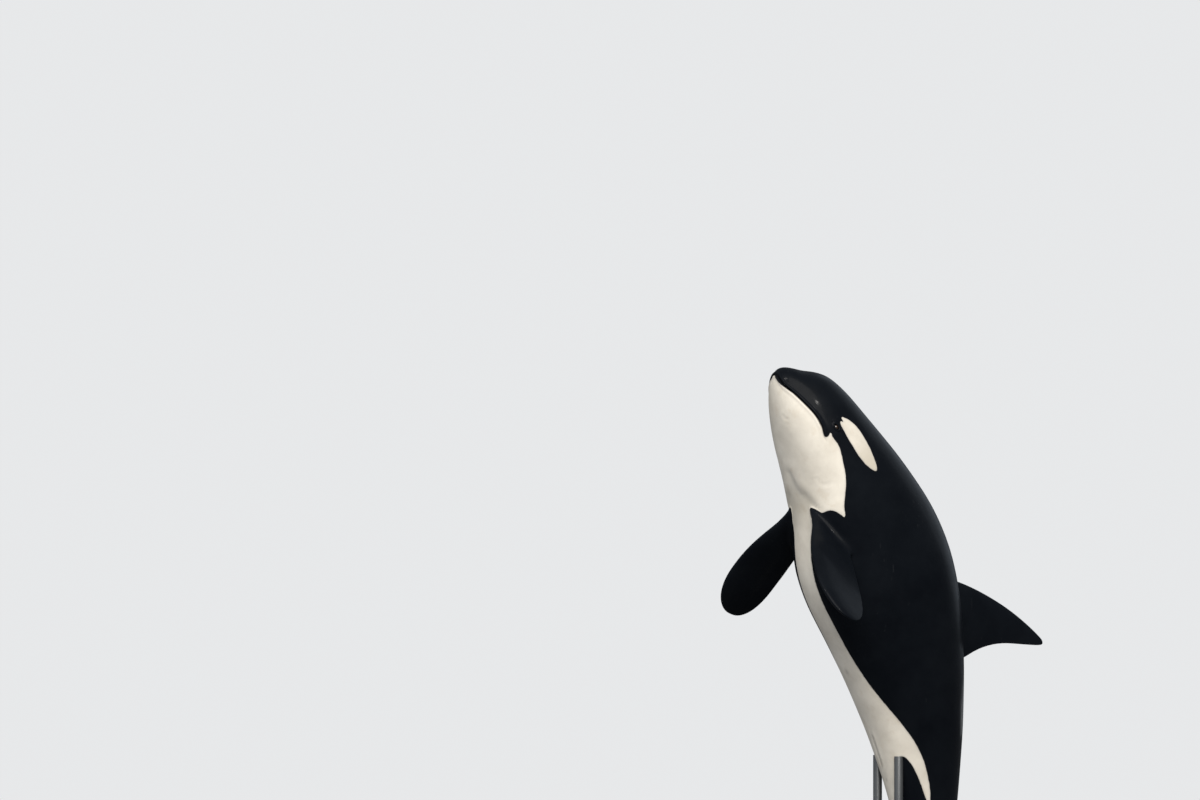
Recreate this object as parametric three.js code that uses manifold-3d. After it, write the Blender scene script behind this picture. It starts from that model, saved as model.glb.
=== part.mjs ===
// A life-size orca rising upright, as a still museum figure on a plain stand.
// Millimetres, +Z up. The belly faces -Y, the back +Y and the animal's left side +X.
// The origin is the centre of the stand's underside.
import * as THREE from "three";
import { mergeVertices } from "three/addons/utils/BufferGeometryUtils.js";
import Module from "manifold-3d";

const wasm = await Module();
wasm.setup();

// Driving sizes of the animal
const LENGTH = 6200;
const SNOUT = { y: -1180, z: 6130 };
const GAP = 0.3;
const ROUNDNESS = 2.15;

// The body's half sizes along its axis: distance from the snout, back, belly, side
const GIRTH = [
  [0, 0, 0, 0],
  [21, 62, 60, 78],
  [72, 121, 118, 144],
  [180, 229, 192, 231],
  [330, 354, 267, 318],
  [540, 438, 341, 405],
  [780, 486, 406, 465],
  [1080, 555, 480, 515],
  [1440, 639, 595, 558],
  [1860, 716, 728, 589],
  [2340, 728, 731, 589],
  [2820, 660, 640, 530],
  [3410, 546, 521, 428],
  [3970, 434, 403, 322],
  [4590, 322, 291, 217],
  [5080, 240, 211, 150],
  [5520, 164, 146, 107],
  [5890, 103, 95, 95],
  [6080, 48, 46, 86],
  [LENGTH, 10, 10, 64],
];

// How far the axis leans from upright: distance from the snout, degrees
const LEAN = [
  [0, 36],
  [620, 32],
  [1210, 29],
  [1800, 24.5],
  [2700, 17],
  [3600, 10.5],
  [4590, 3.5],
  [5460, -4],
  [LENGTH, -8],
];

// Where the body is parted
const CUT = { neck: 1000, waist: 2300, stock: 3720 };
const STOCK_END = { ring: 6180, point: 6220 };

// The line of the mouth: distance from the snout, height over the axis
const MOUTH = [
  [20, -58],
  [87, -94],
  [186, -99],
  [347, -90],
  [496, -87],
  [583, -104],
];
const LIP = { width: 34, height: 8, root: 16, endScale: 0.25, taperFrom: 0.86 };
const MOUTH_GROOVE = { width: 9, depth: 16, floor: 0.4 };
const THROAT = { at: 830, depth: 520 };
const JAW_BLOCK = { before: 60, ahead: 300, width: 1400 };

const EYE = { at: 657, angle: 88.5, radius: 30, proud: 3 };
const LID = { length: 104, opening: 34, width: 15, height: 10, spread: 0.7, cornerScale: 0.35 };
const LID_OPENING = { depth: 0.55, floorScale: 0.62, mouthScale: 1.1, sharpness: 1.2 };
const BLOWHOLE = {
  at: 770,
  width: 124,
  bow: 34,
  slit: 13,
  depth: 26,
  rim: 24,
  rimHeight: 8,
  rimReach: 1.12,
  endScale: 0.3,
};

const FLIPPER = {
  at: 1530,
  angle: 142,
  reach: 1120,
  sink: 190,
  breadth: 500,
  rootChord: 385,
  thickness: 0.17,
  flare: 0.55,
  flareReach: 0.16,
  tailward: 0.42,
  outward: 0.7,
  bellyward: 0.58,
  sweep: 150,
  lie: 0.9,
  swellEnd: 0.5,
  roundFrom: 0.55,
  roundness: 2.4,
};
const DORSAL_FIN = {
  at: 2440,
  base: 790,
  height: 860,
  sink: 130,
  thickness: 0.12,
  flare: 0.8,
  flareReach: 0.2,
  sweep: 0.62,
  sweepGain: 0.42,
  taper: 0.95,
  taperEase: 0.18,
  roundFrom: 0.6,
  roundness: 2.4,
  frontRound: 0.35,
};
const FLUKE = {
  at: 5700,
  rootChord: 575,
  halfSpan: 880,
  thickness: 0.13,
  flare: 0.25,
  flareReach: 0.2,
  notch: 75,
  notchReach: 0.14,
  swell: 60,
  sweep: 0.72,
  sweepGain: 0.3,
  tipRise: 75,
  leastChord: 16,
  roundFrom: 0.86,
  roundness: 3,
  lieAt: 6050,
};
// The fins' narrow end, as a part of their chord
const FIN_TIP = 0.06;

const STAND = {
  width: 2300,
  depth: 2100,
  thickness: 40,
  corner: 260,
  rodRadius: 42,
  rodY: 0,
  rodSpacing: 400,
  rodReach: 3200,
  footRadius: 115,
  footHeight: 22,
};

// How finely the surfaces are divided
const SIDES = 36;
const AXIS_STEP = 10;
const RINGS = { head: 22, trunk: 10, stock: 14, dorsal: 10, fin: 11 };
const SNOUT_CROWDING = 1.7;
const TIP_CROWDING = 1.5;
const STEPS = { mouth: 34, jaw: 24, lid: 10, almond: 14, blowhole: 14, bead: 6, section: 16 };
const EYE_STEPS = { around: 12, down: 8 };
const STAND_STEPS = { round: 32, corner: 8 };
const WELD = 1e-3;

const DEGREE = Math.PI / 180;

const SKIN_BLACK = skin(0x0b0d10, 0.3);
const SKIN_WHITE = skin(0xe9e3d6, 0.42);
const EYE_BROWN = skin(0x1a100a, 0.08);
const STAND_GREY = new THREE.MeshStandardMaterial({ color: 0x3b3d40, roughness: 0.5, metalness: 0.6 });

function skin(color, roughness) {
  return new THREE.MeshStandardMaterial({ color, roughness, metalness: 0 });
}

// A natural cubic spline through the given points
function spline(xs, ys) {
  const n = xs.length;
  const bend = new Array(n).fill(0);
  const work = new Array(n).fill(0);
  for (let i = 1; i < n - 1; i += 1) {
    const ratio = (xs[i] - xs[i - 1]) / (xs[i + 1] - xs[i - 1]);
    const p = ratio * bend[i - 1] + 2;
    const rise = (ys[i + 1] - ys[i]) / (xs[i + 1] - xs[i]);
    const before = (ys[i] - ys[i - 1]) / (xs[i] - xs[i - 1]);
    bend[i] = (ratio - 1) / p;
    work[i] = ((6 * (rise - before)) / (xs[i + 1] - xs[i - 1]) - ratio * work[i - 1]) / p;
  }
  bend[n - 1] = 0;
  for (let i = n - 2; i >= 0; i -= 1) bend[i] = bend[i] * bend[i + 1] + work[i];
  return (x) => {
    let k = 0;
    while (k < n - 2 && x > xs[k + 1]) k += 1;
    const h = xs[k + 1] - xs[k];
    const a = (xs[k + 1] - x) / h;
    const b = 1 - a;
    const curve = ((a ** 3 - a) * bend[k] + (b ** 3 - b) * bend[k + 1]) * ((h * h) / 6);
    return a * ys[k] + b * ys[k + 1] + curve;
  };
}

const column = (table, k) => table.map((row) => row[k]);

// Half sizes follow the square root of the distance, so that the snout is blunt
const roots = column(GIRTH, 0).map(Math.sqrt);
const half = [1, 2, 3].map((k) => spline(roots, column(GIRTH, k)));
const [back, belly, side] = half.map((f) => (s) => f(Math.sqrt(THREE.MathUtils.clamp(s, 0, LENGTH))));
const mouthHeight = spline(column(MOUTH, 0), column(MOUTH, 1));

const leanAt = spline(column(LEAN, 0), column(LEAN, 1).map((degrees) => degrees * DEGREE));
const axisPoints = axisTable();

// The axis is the lean added up step by step from the snout
function axisTable() {
  const points = [new THREE.Vector3(0, SNOUT.y, SNOUT.z)];
  for (let s = 0; s < LENGTH; s += AXIS_STEP) {
    const lean = leanAt(s + AXIS_STEP / 2);
    const step = new THREE.Vector3(0, Math.sin(lean), -Math.cos(lean)).multiplyScalar(AXIS_STEP);
    points.push(points.at(-1).clone().add(step));
  }
  return points;
}

function tailward(s) {
  const lean = leanAt(THREE.MathUtils.clamp(s, 0, LENGTH));
  return new THREE.Vector3(0, Math.sin(lean), -Math.cos(lean));
}

function backward(s) {
  const lean = leanAt(THREE.MathUtils.clamp(s, 0, LENGTH));
  return new THREE.Vector3(0, Math.cos(lean), Math.sin(lean));
}

function axisAt(s) {
  const inside = THREE.MathUtils.clamp(s, 0, LENGTH);
  const k = Math.min(Math.floor(inside / AXIS_STEP), axisPoints.length - 2);
  const point = axisPoints[k].clone().lerp(axisPoints[k + 1], inside / AXIS_STEP - k);
  return point.addScaledVector(tailward(s), s - inside);
}

// A place given by distance along the axis, height toward the back and offset to the left
function place(s, height, left) {
  return axisAt(s).addScaledVector(backward(s), height).add(new THREE.Vector3(left, 0, 0));
}

const power = (value, exponent) => Math.sign(value) * Math.abs(value) ** exponent;

// A point of the body's surface: angle 0 is the back, 90 the left side and 180 the belly
function surface(s, angle, grow = 0) {
  const c = Math.cos(angle * DEGREE);
  const tall = (c > 0 ? back(s) : belly(s)) + grow;
  const wide = side(s) + grow;
  const left = wide * power(Math.sin(angle * DEGREE), 2 / ROUNDNESS);
  return place(s, tall * power(c, 2 / ROUNDNESS), left);
}

// The outward direction of the body's surface
function outward(s, angle) {
  const along = surface(s + 2, angle).sub(surface(s - 2, angle));
  const around = surface(s, angle + 0.5).sub(surface(s, angle - 0.5));
  return along.cross(around).normalize().negate();
}

// A closed mesh over rings of points, each ring counter-clockwise seen from the start
function loft(rings, start, end, mirrored = false) {
  const n = rings[0].length;
  const vertices = rings.flat().concat([start ?? centre(rings[0]), end ?? centre(rings.at(-1))]);
  const first = rings.length * n;
  const index = [];
  for (let i = 0; i < rings.length - 1; i += 1) {
    for (let j = 0; j < n; j += 1) {
      const a = i * n + j;
      const b = i * n + ((j + 1) % n);
      const c = b + n;
      const d = a + n;
      if (mirrored && j >= n / 2) index.push(a, d, b, b, d, c);
      else index.push(a, c, b, a, d, c);
    }
  }
  for (let j = 0; j < n; j += 1) {
    const last = (rings.length - 1) * n;
    index.push(first, j, (j + 1) % n);
    index.push(first + 1, last + ((j + 1) % n), last + j);
  }
  return solid(vertices, index);
}

function centre(ring) {
  return ring.reduce((sum, p) => sum.add(p), new THREE.Vector3()).divideScalar(ring.length);
}

function closed(vertProperties, index) {
  const triVerts = new Uint32Array(index);
  return new wasm.Manifold(new wasm.Mesh({ numProp: 3, vertProperties, triVerts }));
}

// A solid from points and triangles, turned to face out
function solid(vertices, index) {
  const vertProperties = new Float32Array(vertices.flatMap((p) => [p.x, p.y, p.z]));
  const made = closed(vertProperties, index);
  if (made.volume() > 0) return made;
  const turned = [];
  for (let i = 0; i < index.length; i += 3) turned.push(index[i], index[i + 2], index[i + 1]);
  return closed(vertProperties, turned);
}

// A three.js geometry as a solid
function solidOf(geometry) {
  const bare = geometry.clone();
  bare.deleteAttribute("normal");
  bare.deleteAttribute("uv");
  const merged = mergeVertices(bare, WELD);
  return closed(new Float32Array(merged.attributes.position.array), merged.index.array);
}

// A solid's largest closed surface as a named mesh
function part(name, made, material) {
  const whole = made.decompose().reduce((a, b) => (b.volume() > a.volume() ? b : a));
  const mesh = whole.getMesh();
  const geometry = new THREE.BufferGeometry();
  geometry.setAttribute("position", new THREE.Float32BufferAttribute(mesh.vertProperties, 3));
  geometry.setIndex(Array.from(mesh.triVerts));
  geometry.computeVertexNormals();
  const object = new THREE.Mesh(geometry, material);
  object.name = name;
  return object;
}

function ringAt(s, grow) {
  return Array.from({ length: SIDES }, (_, j) => surface(s, (360 * j) / SIDES, grow));
}

// A length of the body between two flat cuts
function bodyLength(from, to, steps, grow = 0) {
  const rings = [];
  for (let i = 0; i <= steps; i += 1) rings.push(ringAt(from + ((to - from) * i) / steps, grow));
  return loft(rings);
}

// The head and the end of the tail close on a point
function headLength(to, steps, grow = 0) {
  const rings = [];
  for (let i = 1; i <= steps; i += 1) rings.push(ringAt(to * (i / steps) ** SNOUT_CROWDING, grow));
  return loft(rings, place(-grow, 0, 0), null);
}

function stockLength(from, steps, grow = 0) {
  const rings = [];
  for (let i = 0; i <= steps; i += 1) {
    const s = from + (STOCK_END.ring - from) * (i / steps);
    rings.push(ringAt(s, grow));
  }
  return loft(rings, null, place(STOCK_END.point + grow, 0, 0));
}

// A bead or groove: a small outline carried along a path on the skin.
// Each path entry has its point, its outward direction and its scale.
function sweep(path, outline) {
  const rings = path.map((at, i) => {
    const before = path[Math.max(i - 1, 0)].point;
    const after = path[Math.min(i + 1, path.length - 1)].point;
    const along = after.clone().sub(before).normalize();
    const across = along.clone().cross(at.out).normalize();
    const out = across.clone().cross(along).normalize();
    return outline.map(([a, b]) => {
      return at.point.clone().addScaledVector(across, a * at.scale).addScaledVector(out, b * at.scale);
    });
  });
  return loft(rings);
}

// A flattened bead's outline, sunk by its root
function bead(width, height, root) {
  const points = [];
  for (let j = 0; j < STEPS.bead; j += 1) {
    const angle = (j / STEPS.bead) * 2 * Math.PI;
    const rise = Math.sin(angle);
    points.push([width * Math.cos(angle), rise > 0 ? height * rise : root * rise]);
  }
  return points;
}

// The outline of a groove with sloping walls, open above the skin
function groove(width, depth) {
  const floor = width * MOUTH_GROOVE.floor;
  return [[-width, depth], [-floor, -depth], [floor, -depth], [width, depth]];
}

// The front of the mouth is where its line meets the middle of the snout
function mouthFront() {
  let low = 0;
  let high = MOUTH[2][0];
  while (high - low > WELD) {
    const middle = (low + high) / 2;
    if (belly(middle) > -mouthHeight(middle)) high = middle;
    else low = middle;
  }
  return high;
}

// The mouth runs from the left corner round the snout to the right one
function mouthPath() {
  const front = mouthFront();
  const corner = MOUTH.at(-1)[0];
  const path = [];
  for (let i = 0; i <= STEPS.mouth; i += 1) {
    const t = (2 * i) / STEPS.mouth - 1;
    const s = front + (corner - front) * t * t;
    const low = Math.min(-mouthHeight(s) / belly(s), 1);
    const angle = (180 - Math.acos(low ** (ROUNDNESS / 2)) / DEGREE) * (t < 0 ? -1 : 1);
    const scale = 1 - (1 - LIP.endScale) * THREE.MathUtils.smoothstep(Math.abs(t), LIP.taperFrom, 1);
    path.push({ point: surface(s, angle), out: outward(s, angle), scale });
  }
  return path;
}

// The lower jaw's region lies under the mouth line and before a slanted cut at the throat
function jawRegion(grow) {
  const corner = MOUTH.at(-1)[0];
  const outline = [];
  for (let i = 0; i <= STEPS.jaw; i += 1) {
    const s = -JAW_BLOCK.before + ((corner + JAW_BLOCK.before) * i) / STEPS.jaw;
    outline.push(place(s, mouthHeight(Math.max(s, MOUTH[0][0])) + grow, 0));
  }
  outline.push(place(THROAT.at + grow, -THROAT.depth, 0));
  outline.push(place(-JAW_BLOCK.ahead, -THROAT.depth, 0));
  const shape = new THREE.Shape(outline.map((p) => new THREE.Vector2(p.y, p.z)));
  const depth = JAW_BLOCK.width;
  const slab = new THREE.ExtrudeGeometry(shape, { depth, bevelEnabled: false, curveSegments: 1 });
  slab.translate(0, 0, -depth / 2);
  // The outline's own X and Y become the part's Y and Z, and the depth its X
  const turn = new THREE.Matrix4().makeBasis(
    new THREE.Vector3(0, 1, 0),
    new THREE.Vector3(0, 0, 1),
    new THREE.Vector3(1, 0, 0),
  );
  return solidOf(slab.applyMatrix4(turn));
}

// The skin's own directions at a place: along to the tail, across, and out
function skinFrame(s, angle) {
  const out = outward(s, angle);
  const along = tailward(s).addScaledVector(out, -tailward(s).dot(out)).normalize();
  const across = out.clone().cross(along);
  return { origin: surface(s, angle), out, along, across };
}

function onSkin(frame, a, b, c) {
  return frame.origin
    .clone()
    .addScaledVector(frame.along, a)
    .addScaledVector(frame.across, b)
    .addScaledVector(frame.out, c);
}

function eyeBall(sign, grow) {
  const frame = skinFrame(EYE.at, EYE.angle * sign);
  const ball = new THREE.SphereGeometry(EYE.radius + grow, EYE_STEPS.around, EYE_STEPS.down);
  const middle = onSkin(frame, 0, 0, EYE.proud - EYE.radius);
  ball.applyQuaternion(new THREE.Quaternion().setFromUnitVectors(new THREE.Vector3(0, 1, 0), frame.out));
  ball.translate(middle.x, middle.y, middle.z);
  return solidOf(ball);
}

// One lid is a bowed bead between the corners of the eye
function lid(sign, bow) {
  const frame = skinFrame(EYE.at, EYE.angle * sign);
  const path = [];
  for (let i = 0; i <= STEPS.lid; i += 1) {
    const t = i / STEPS.lid;
    const rise = Math.sin(Math.PI * t);
    const along = LID.length * (t - 0.5);
    const point = onSkin(frame, along, bow * (LID.opening / 2 + LID.width * LID.spread) * rise, 0);
    path.push({ point, out: frame.out, scale: LID.cornerScale + (1 - LID.cornerScale) * rise });
  }
  return sweep(path, bead(LID.width, LID.height, LID.width));
}

// The opening between the lids is an almond cut down to the eye
function lidOpening(sign) {
  const frame = skinFrame(EYE.at, EYE.angle * sign);
  const ring = (depth, scale) => {
    const points = [];
    for (let i = 0; i < STEPS.almond; i += 1) {
      const angle = (i / STEPS.almond) * 2 * Math.PI;
      const a = (LID.length / 2 - LID.width / 2) * Math.cos(angle);
      const b = (LID.opening / 2) * power(Math.sin(angle), LID_OPENING.sharpness);
      points.push(onSkin(frame, a * scale, b * scale, depth));
    }
    return points;
  };
  const { depth, floorScale, mouthScale } = LID_OPENING;
  return loft([ring(-EYE.radius * depth, floorScale), ring(LID.height * 2, mouthScale)]);
}

// The blowhole is a crescent on top of the head whose horns point forward
function blowholePath(reach) {
  const path = [];
  for (let i = 0; i <= STEPS.blowhole; i += 1) {
    const t = (2 * i) / STEPS.blowhole - 1;
    const left = (BLOWHOLE.width / 2) * t * reach;
    const s = BLOWHOLE.at - BLOWHOLE.bow * t * t * reach;
    const angle = Math.asin(left / side(s)) / DEGREE;
    const scale = 1 - (1 - BLOWHOLE.endScale) * t ** 6;
    path.push({ point: surface(s, angle), out: outward(s, angle), scale });
  }
  return path;
}

function headSolid() {
  let head = headLength(CUT.neck - GAP, RINGS.head);
  head = head.add(sweep(mouthPath(), bead(LIP.width, LIP.height, LIP.root)));
  const blowholeRim = bead(BLOWHOLE.rim, BLOWHOLE.rimHeight, BLOWHOLE.rim);
  head = head.add(sweep(blowholePath(BLOWHOLE.rimReach), blowholeRim));
  for (const sign of [1, -1]) {
    head = head.add(lid(sign, 1)).add(lid(sign, -1));
    head = head.subtract(lidOpening(sign)).subtract(eyeBall(sign, GAP));
  }
  head = head.subtract(sweep(blowholePath(1), groove(BLOWHOLE.slit, BLOWHOLE.depth)));
  return head.subtract(sweep(mouthPath(), groove(MOUTH_GROOVE.width, MOUTH_GROOVE.depth)));
}

// A fin's section: a rounded front edge and a thin rear edge, in parts of the chord
function finSection(points) {
  return Array.from({ length: points }, (_, j) => {
    const turn = (j / points) * 2 * Math.PI;
    const x = (1 - Math.cos(turn)) / 2;
    const thick = 1.4845 * Math.sqrt(x) - 0.63 * x - 1.758 * x ** 2 + 1.4215 * x ** 3 - 0.5075 * x ** 4;
    return [x, Math.sign(Math.sin(turn)) * thick];
  });
}

// A fin grown along its span. shape(v) gives the front edge's place, the chord and the
// thickness part at v, from the root at 0 to the tip at 1.
function fin({ origin, span, chord, length, sink, stations, shape, thickness, flare, flareReach }) {
  const face = span.clone().cross(chord).normalize();
  const section = finSection(STEPS.section);
  const rings = [];
  for (let i = 0; i <= stations; i += 1) {
    const v = 1 - (1 - i / stations) ** TIP_CROWDING;
    const { front, width } = shape(v);
    const base = origin.clone().addScaledVector(span, v * length - (i === 0 ? sink : 0));
    const thick = width * thickness * (1 + flare * Math.max(0, 1 - v / flareReach) ** 2);
    rings.push(
      section.map(([x, y]) => {
        return base.clone().addScaledVector(chord, front + x * width).addScaledVector(face, y * thick);
      }),
    );
  }
  return loft(rings, null, null, true);
}

// A rounded end: 1 along the fin and falling to a small tip
function rounded(v, from, exponent) {
  const t = Math.max(0, (v - from) / (1 - from));
  return FIN_TIP + (1 - FIN_TIP) * Math.sqrt(1 - t ** exponent);
}

function flipper(sign) {
  const s = FLIPPER.at;
  const left = new THREE.Vector3(sign, 0, 0);
  const span = left
    .clone()
    .multiplyScalar(FLIPPER.outward)
    .addScaledVector(backward(s), -FLIPPER.bellyward)
    .addScaledVector(tailward(s), FLIPPER.tailward)
    .normalize();
  const lie = tailward(s).add(backward(s).multiplyScalar(FLIPPER.lie));
  const chord = lie.addScaledVector(span, -lie.dot(span)).normalize();
  const shape = (v) => {
    const swell = Math.sin((Math.PI / 2) * Math.min(v / FLIPPER.swellEnd, 1));
    const broad = FLIPPER.rootChord + (FLIPPER.breadth - FLIPPER.rootChord) * swell;
    const width = broad * rounded(v, FLIPPER.roundFrom, FLIPPER.roundness);
    return { front: FLIPPER.sweep * v * v - width / 2, width };
  };
  return fin({
    origin: surface(s, FLIPPER.angle * sign),
    span,
    chord,
    length: FLIPPER.reach,
    stations: RINGS.fin,
    shape,
    ...FLIPPER,
  });
}

function dorsalFin() {
  const s = DORSAL_FIN.at + DORSAL_FIN.base / 2;
  const { base: chord, sweep: lean, sweepGain, taper, taperEase, roundFrom, roundness } = DORSAL_FIN;
  const shape = (v) => {
    const full = chord * (1 - taper * v + taperEase * v * v);
    const width = full * rounded(v, roundFrom, roundness);
    const front = chord * (lean * v + sweepGain * v * v - 1 / 2);
    return { front: front + DORSAL_FIN.frontRound * (full - width), width };
  };
  return fin({
    origin: surface(s, 0),
    span: backward(s),
    chord: tailward(s),
    length: DORSAL_FIN.height,
    stations: RINGS.dorsal,
    shape,
    ...DORSAL_FIN,
  });
}

function fluke(sign) {
  const { rootChord, notch, notchReach, swell, tipRise, leastChord, roundFrom, roundness } = FLUKE;
  const shape = (v) => {
    const front = rootChord * (FLUKE.sweep * v + FLUKE.sweepGain * v ** 3);
    const dent = notch * Math.max(0, 1 - v / notchReach) ** 2;
    const rear = rootChord - dent + swell * Math.sin(Math.PI * v) * (1 - v) + tipRise * v ** 4;
    return { front, width: Math.max((rear - front) * rounded(v, roundFrom, roundness), leastChord) };
  };
  return fin({
    origin: axisAt(FLUKE.at).add(new THREE.Vector3((sign * GAP) / 2, 0, 0)),
    span: new THREE.Vector3(sign, 0, 0),
    chord: tailward(FLUKE.lieAt),
    length: FLUKE.halfSpan,
    sink: 0,
    stations: RINGS.fin,
    shape,
    ...FLUKE,
  });
}

function base() {
  const { width, depth, thickness, corner } = STAND;
  const shape = new THREE.Shape();
  const x = width / 2 - corner;
  const y = depth / 2 - corner;
  shape.absarc(x, y, corner, 0, Math.PI / 2);
  shape.absarc(-x, y, corner, Math.PI / 2, Math.PI);
  shape.absarc(-x, -y, corner, Math.PI, 1.5 * Math.PI);
  shape.absarc(x, -y, corner, 1.5 * Math.PI, 2 * Math.PI);
  const curveSegments = STAND_STEPS.corner;
  const plate = new THREE.ExtrudeGeometry(shape, { depth: thickness, bevelEnabled: false, curveSegments });
  return solidOf(plate);
}

// A round bar standing upright at one side of the stand's middle line
function upright(sign, radius, from, to) {
  const profile = [
    [0, from],
    [radius, from],
    [radius, to],
    [0, to],
  ];
  const points = profile.map(([r, z]) => new THREE.Vector2(r, z));
  const turned = new THREE.LatheGeometry(points, STAND_STEPS.round);
  turned.rotateX(Math.PI / 2);
  turned.translate((sign * STAND.rodSpacing) / 2, STAND.rodY, 0);
  return solidOf(turned);
}

function foot(sign) {
  const low = STAND.thickness + GAP;
  return upright(sign, STAND.footRadius, low, low + STAND.footHeight);
}

// A rod is cut to meet the belly
function rod(sign, body) {
  const low = STAND.thickness + STAND.footHeight + 2 * GAP;
  return upright(sign, STAND.rodRadius, low, STAND.rodReach).subtract(body);
}

function build() {
  const group = new THREE.Group();
  const head = headSolid();
  const [chest, chestGrown] = [0, GAP].map((grow) => {
    return bodyLength(CUT.neck, CUT.waist - GAP, RINGS.trunk, grow);
  });
  const [abdomen, abdomenGrown] = [0, GAP].map((grow) => {
    return bodyLength(CUT.waist, CUT.stock - GAP, RINGS.trunk, grow);
  });
  const [stock, stockGrown] = [0, GAP].map((grow) => stockLength(CUT.stock, RINGS.stock, grow));
  group.add(part("head", head.subtract(jawRegion(GAP)), SKIN_BLACK));
  group.add(part("lower_jaw", head.intersect(jawRegion(0)), SKIN_WHITE));
  group.add(part("chest", chest, SKIN_BLACK));
  group.add(part("abdomen", abdomen, SKIN_BLACK));
  group.add(part("tail_stock", stock, SKIN_BLACK));
  group.add(part("dorsal_fin", dorsalFin().subtract(abdomenGrown), SKIN_BLACK));
  group.add(part("stand_base", base(), STAND_GREY));
  const body = abdomenGrown.add(stockGrown);
  for (const [sign, hand] of [[1, "left"], [-1, "right"]]) {
    group.add(part(`flipper_${hand}`, flipper(sign).subtract(chestGrown), SKIN_BLACK));
    group.add(part(`fluke_${hand}`, fluke(sign).subtract(stockGrown), SKIN_BLACK));
    group.add(part(`eye_${hand}`, eyeBall(sign, 0), EYE_BROWN));
    group.add(part(`stand_foot_${hand}`, foot(sign), STAND_GREY));
    group.add(part(`stand_rod_${hand}`, rod(sign, body), STAND_GREY));
  }
  return group;
}

export default build();
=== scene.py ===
import math

import bmesh
import bpy
import numpy as np
from mathutils import Matrix, Vector


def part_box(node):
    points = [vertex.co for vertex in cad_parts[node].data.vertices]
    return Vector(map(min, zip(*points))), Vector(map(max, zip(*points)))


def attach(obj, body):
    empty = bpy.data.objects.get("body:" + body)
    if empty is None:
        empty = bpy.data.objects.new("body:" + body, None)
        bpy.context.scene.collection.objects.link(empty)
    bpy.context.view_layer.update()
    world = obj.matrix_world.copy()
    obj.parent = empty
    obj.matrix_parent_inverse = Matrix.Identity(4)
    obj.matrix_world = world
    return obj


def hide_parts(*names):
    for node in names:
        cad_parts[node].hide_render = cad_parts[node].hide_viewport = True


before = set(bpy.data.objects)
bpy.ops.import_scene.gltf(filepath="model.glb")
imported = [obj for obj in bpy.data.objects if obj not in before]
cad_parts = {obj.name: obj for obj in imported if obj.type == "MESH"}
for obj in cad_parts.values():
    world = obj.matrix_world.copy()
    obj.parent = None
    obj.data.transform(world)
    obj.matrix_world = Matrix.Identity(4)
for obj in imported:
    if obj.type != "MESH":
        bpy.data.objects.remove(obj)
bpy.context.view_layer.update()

bl_info = {
    "name": "Orca figure",
    "version": (1, 0, 0),
    "blender": (4, 5, 0),
    "location": "View3D > Sidebar > Orca",
    "description": "Builds a life-size orca rising upright, its display stand and the studio round it",
    "category": "Add Mesh",
}

# The animal, in metres. +Z is up, the belly faces -Y and the left side is +X.
LENGTH = 6.2
SNOUT_Y, SNOUT_Z = -1.18, 6.13
ROUNDNESS = 2.15

# Half sizes along the axis: distance from the snout, back, belly, side
GIRTH = (
    (0, 0, 0, 0),
    (0.021, 0.062, 0.060, 0.078),
    (0.072, 0.121, 0.118, 0.144),
    (0.180, 0.229, 0.192, 0.231),
    (0.330, 0.354, 0.267, 0.318),
    (0.540, 0.438, 0.341, 0.405),
    (0.780, 0.486, 0.406, 0.465),
    (1.080, 0.555, 0.480, 0.515),
    (1.440, 0.639, 0.595, 0.558),
    (1.860, 0.716, 0.728, 0.589),
    (2.340, 0.728, 0.731, 0.589),
    (2.820, 0.660, 0.640, 0.530),
    (3.410, 0.546, 0.521, 0.428),
    (3.970, 0.434, 0.403, 0.322),
    (4.590, 0.322, 0.291, 0.217),
    (5.080, 0.240, 0.211, 0.150),
    (5.520, 0.164, 0.146, 0.107),
    (5.890, 0.103, 0.095, 0.095),
    (6.080, 0.048, 0.046, 0.086),
    (LENGTH, 0.010, 0.010, 0.064),
)

# How far the axis leans from upright: distance from the snout, degrees
LEAN = (
    (0, 36),
    (0.620, 32),
    (1.210, 29),
    (1.800, 24.5),
    (2.700, 17),
    (3.600, 10.5),
    (4.590, 3.5),
    (5.460, -4),
    (LENGTH, -8),
)

# The line of the mouth: distance from the snout, height over the axis
MOUTH = ((0.020, -0.058), (0.087, -0.094), (0.186, -0.099), (0.347, -0.090), (0.496, -0.087), (0.583, -0.104))
MOUTH_CORNER = MOUTH[-1][0]
MOUTH_ANGLE = 104.0

EYE_AT, EYE_ANGLE = 0.657, 88.5
EYE_RADIUS, EYE_PROUD = 0.030, 0.003
BLOWHOLE_AT, BLOWHOLE_HALF, BLOWHOLE_BOW = 0.770, 0.062, 0.034

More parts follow.
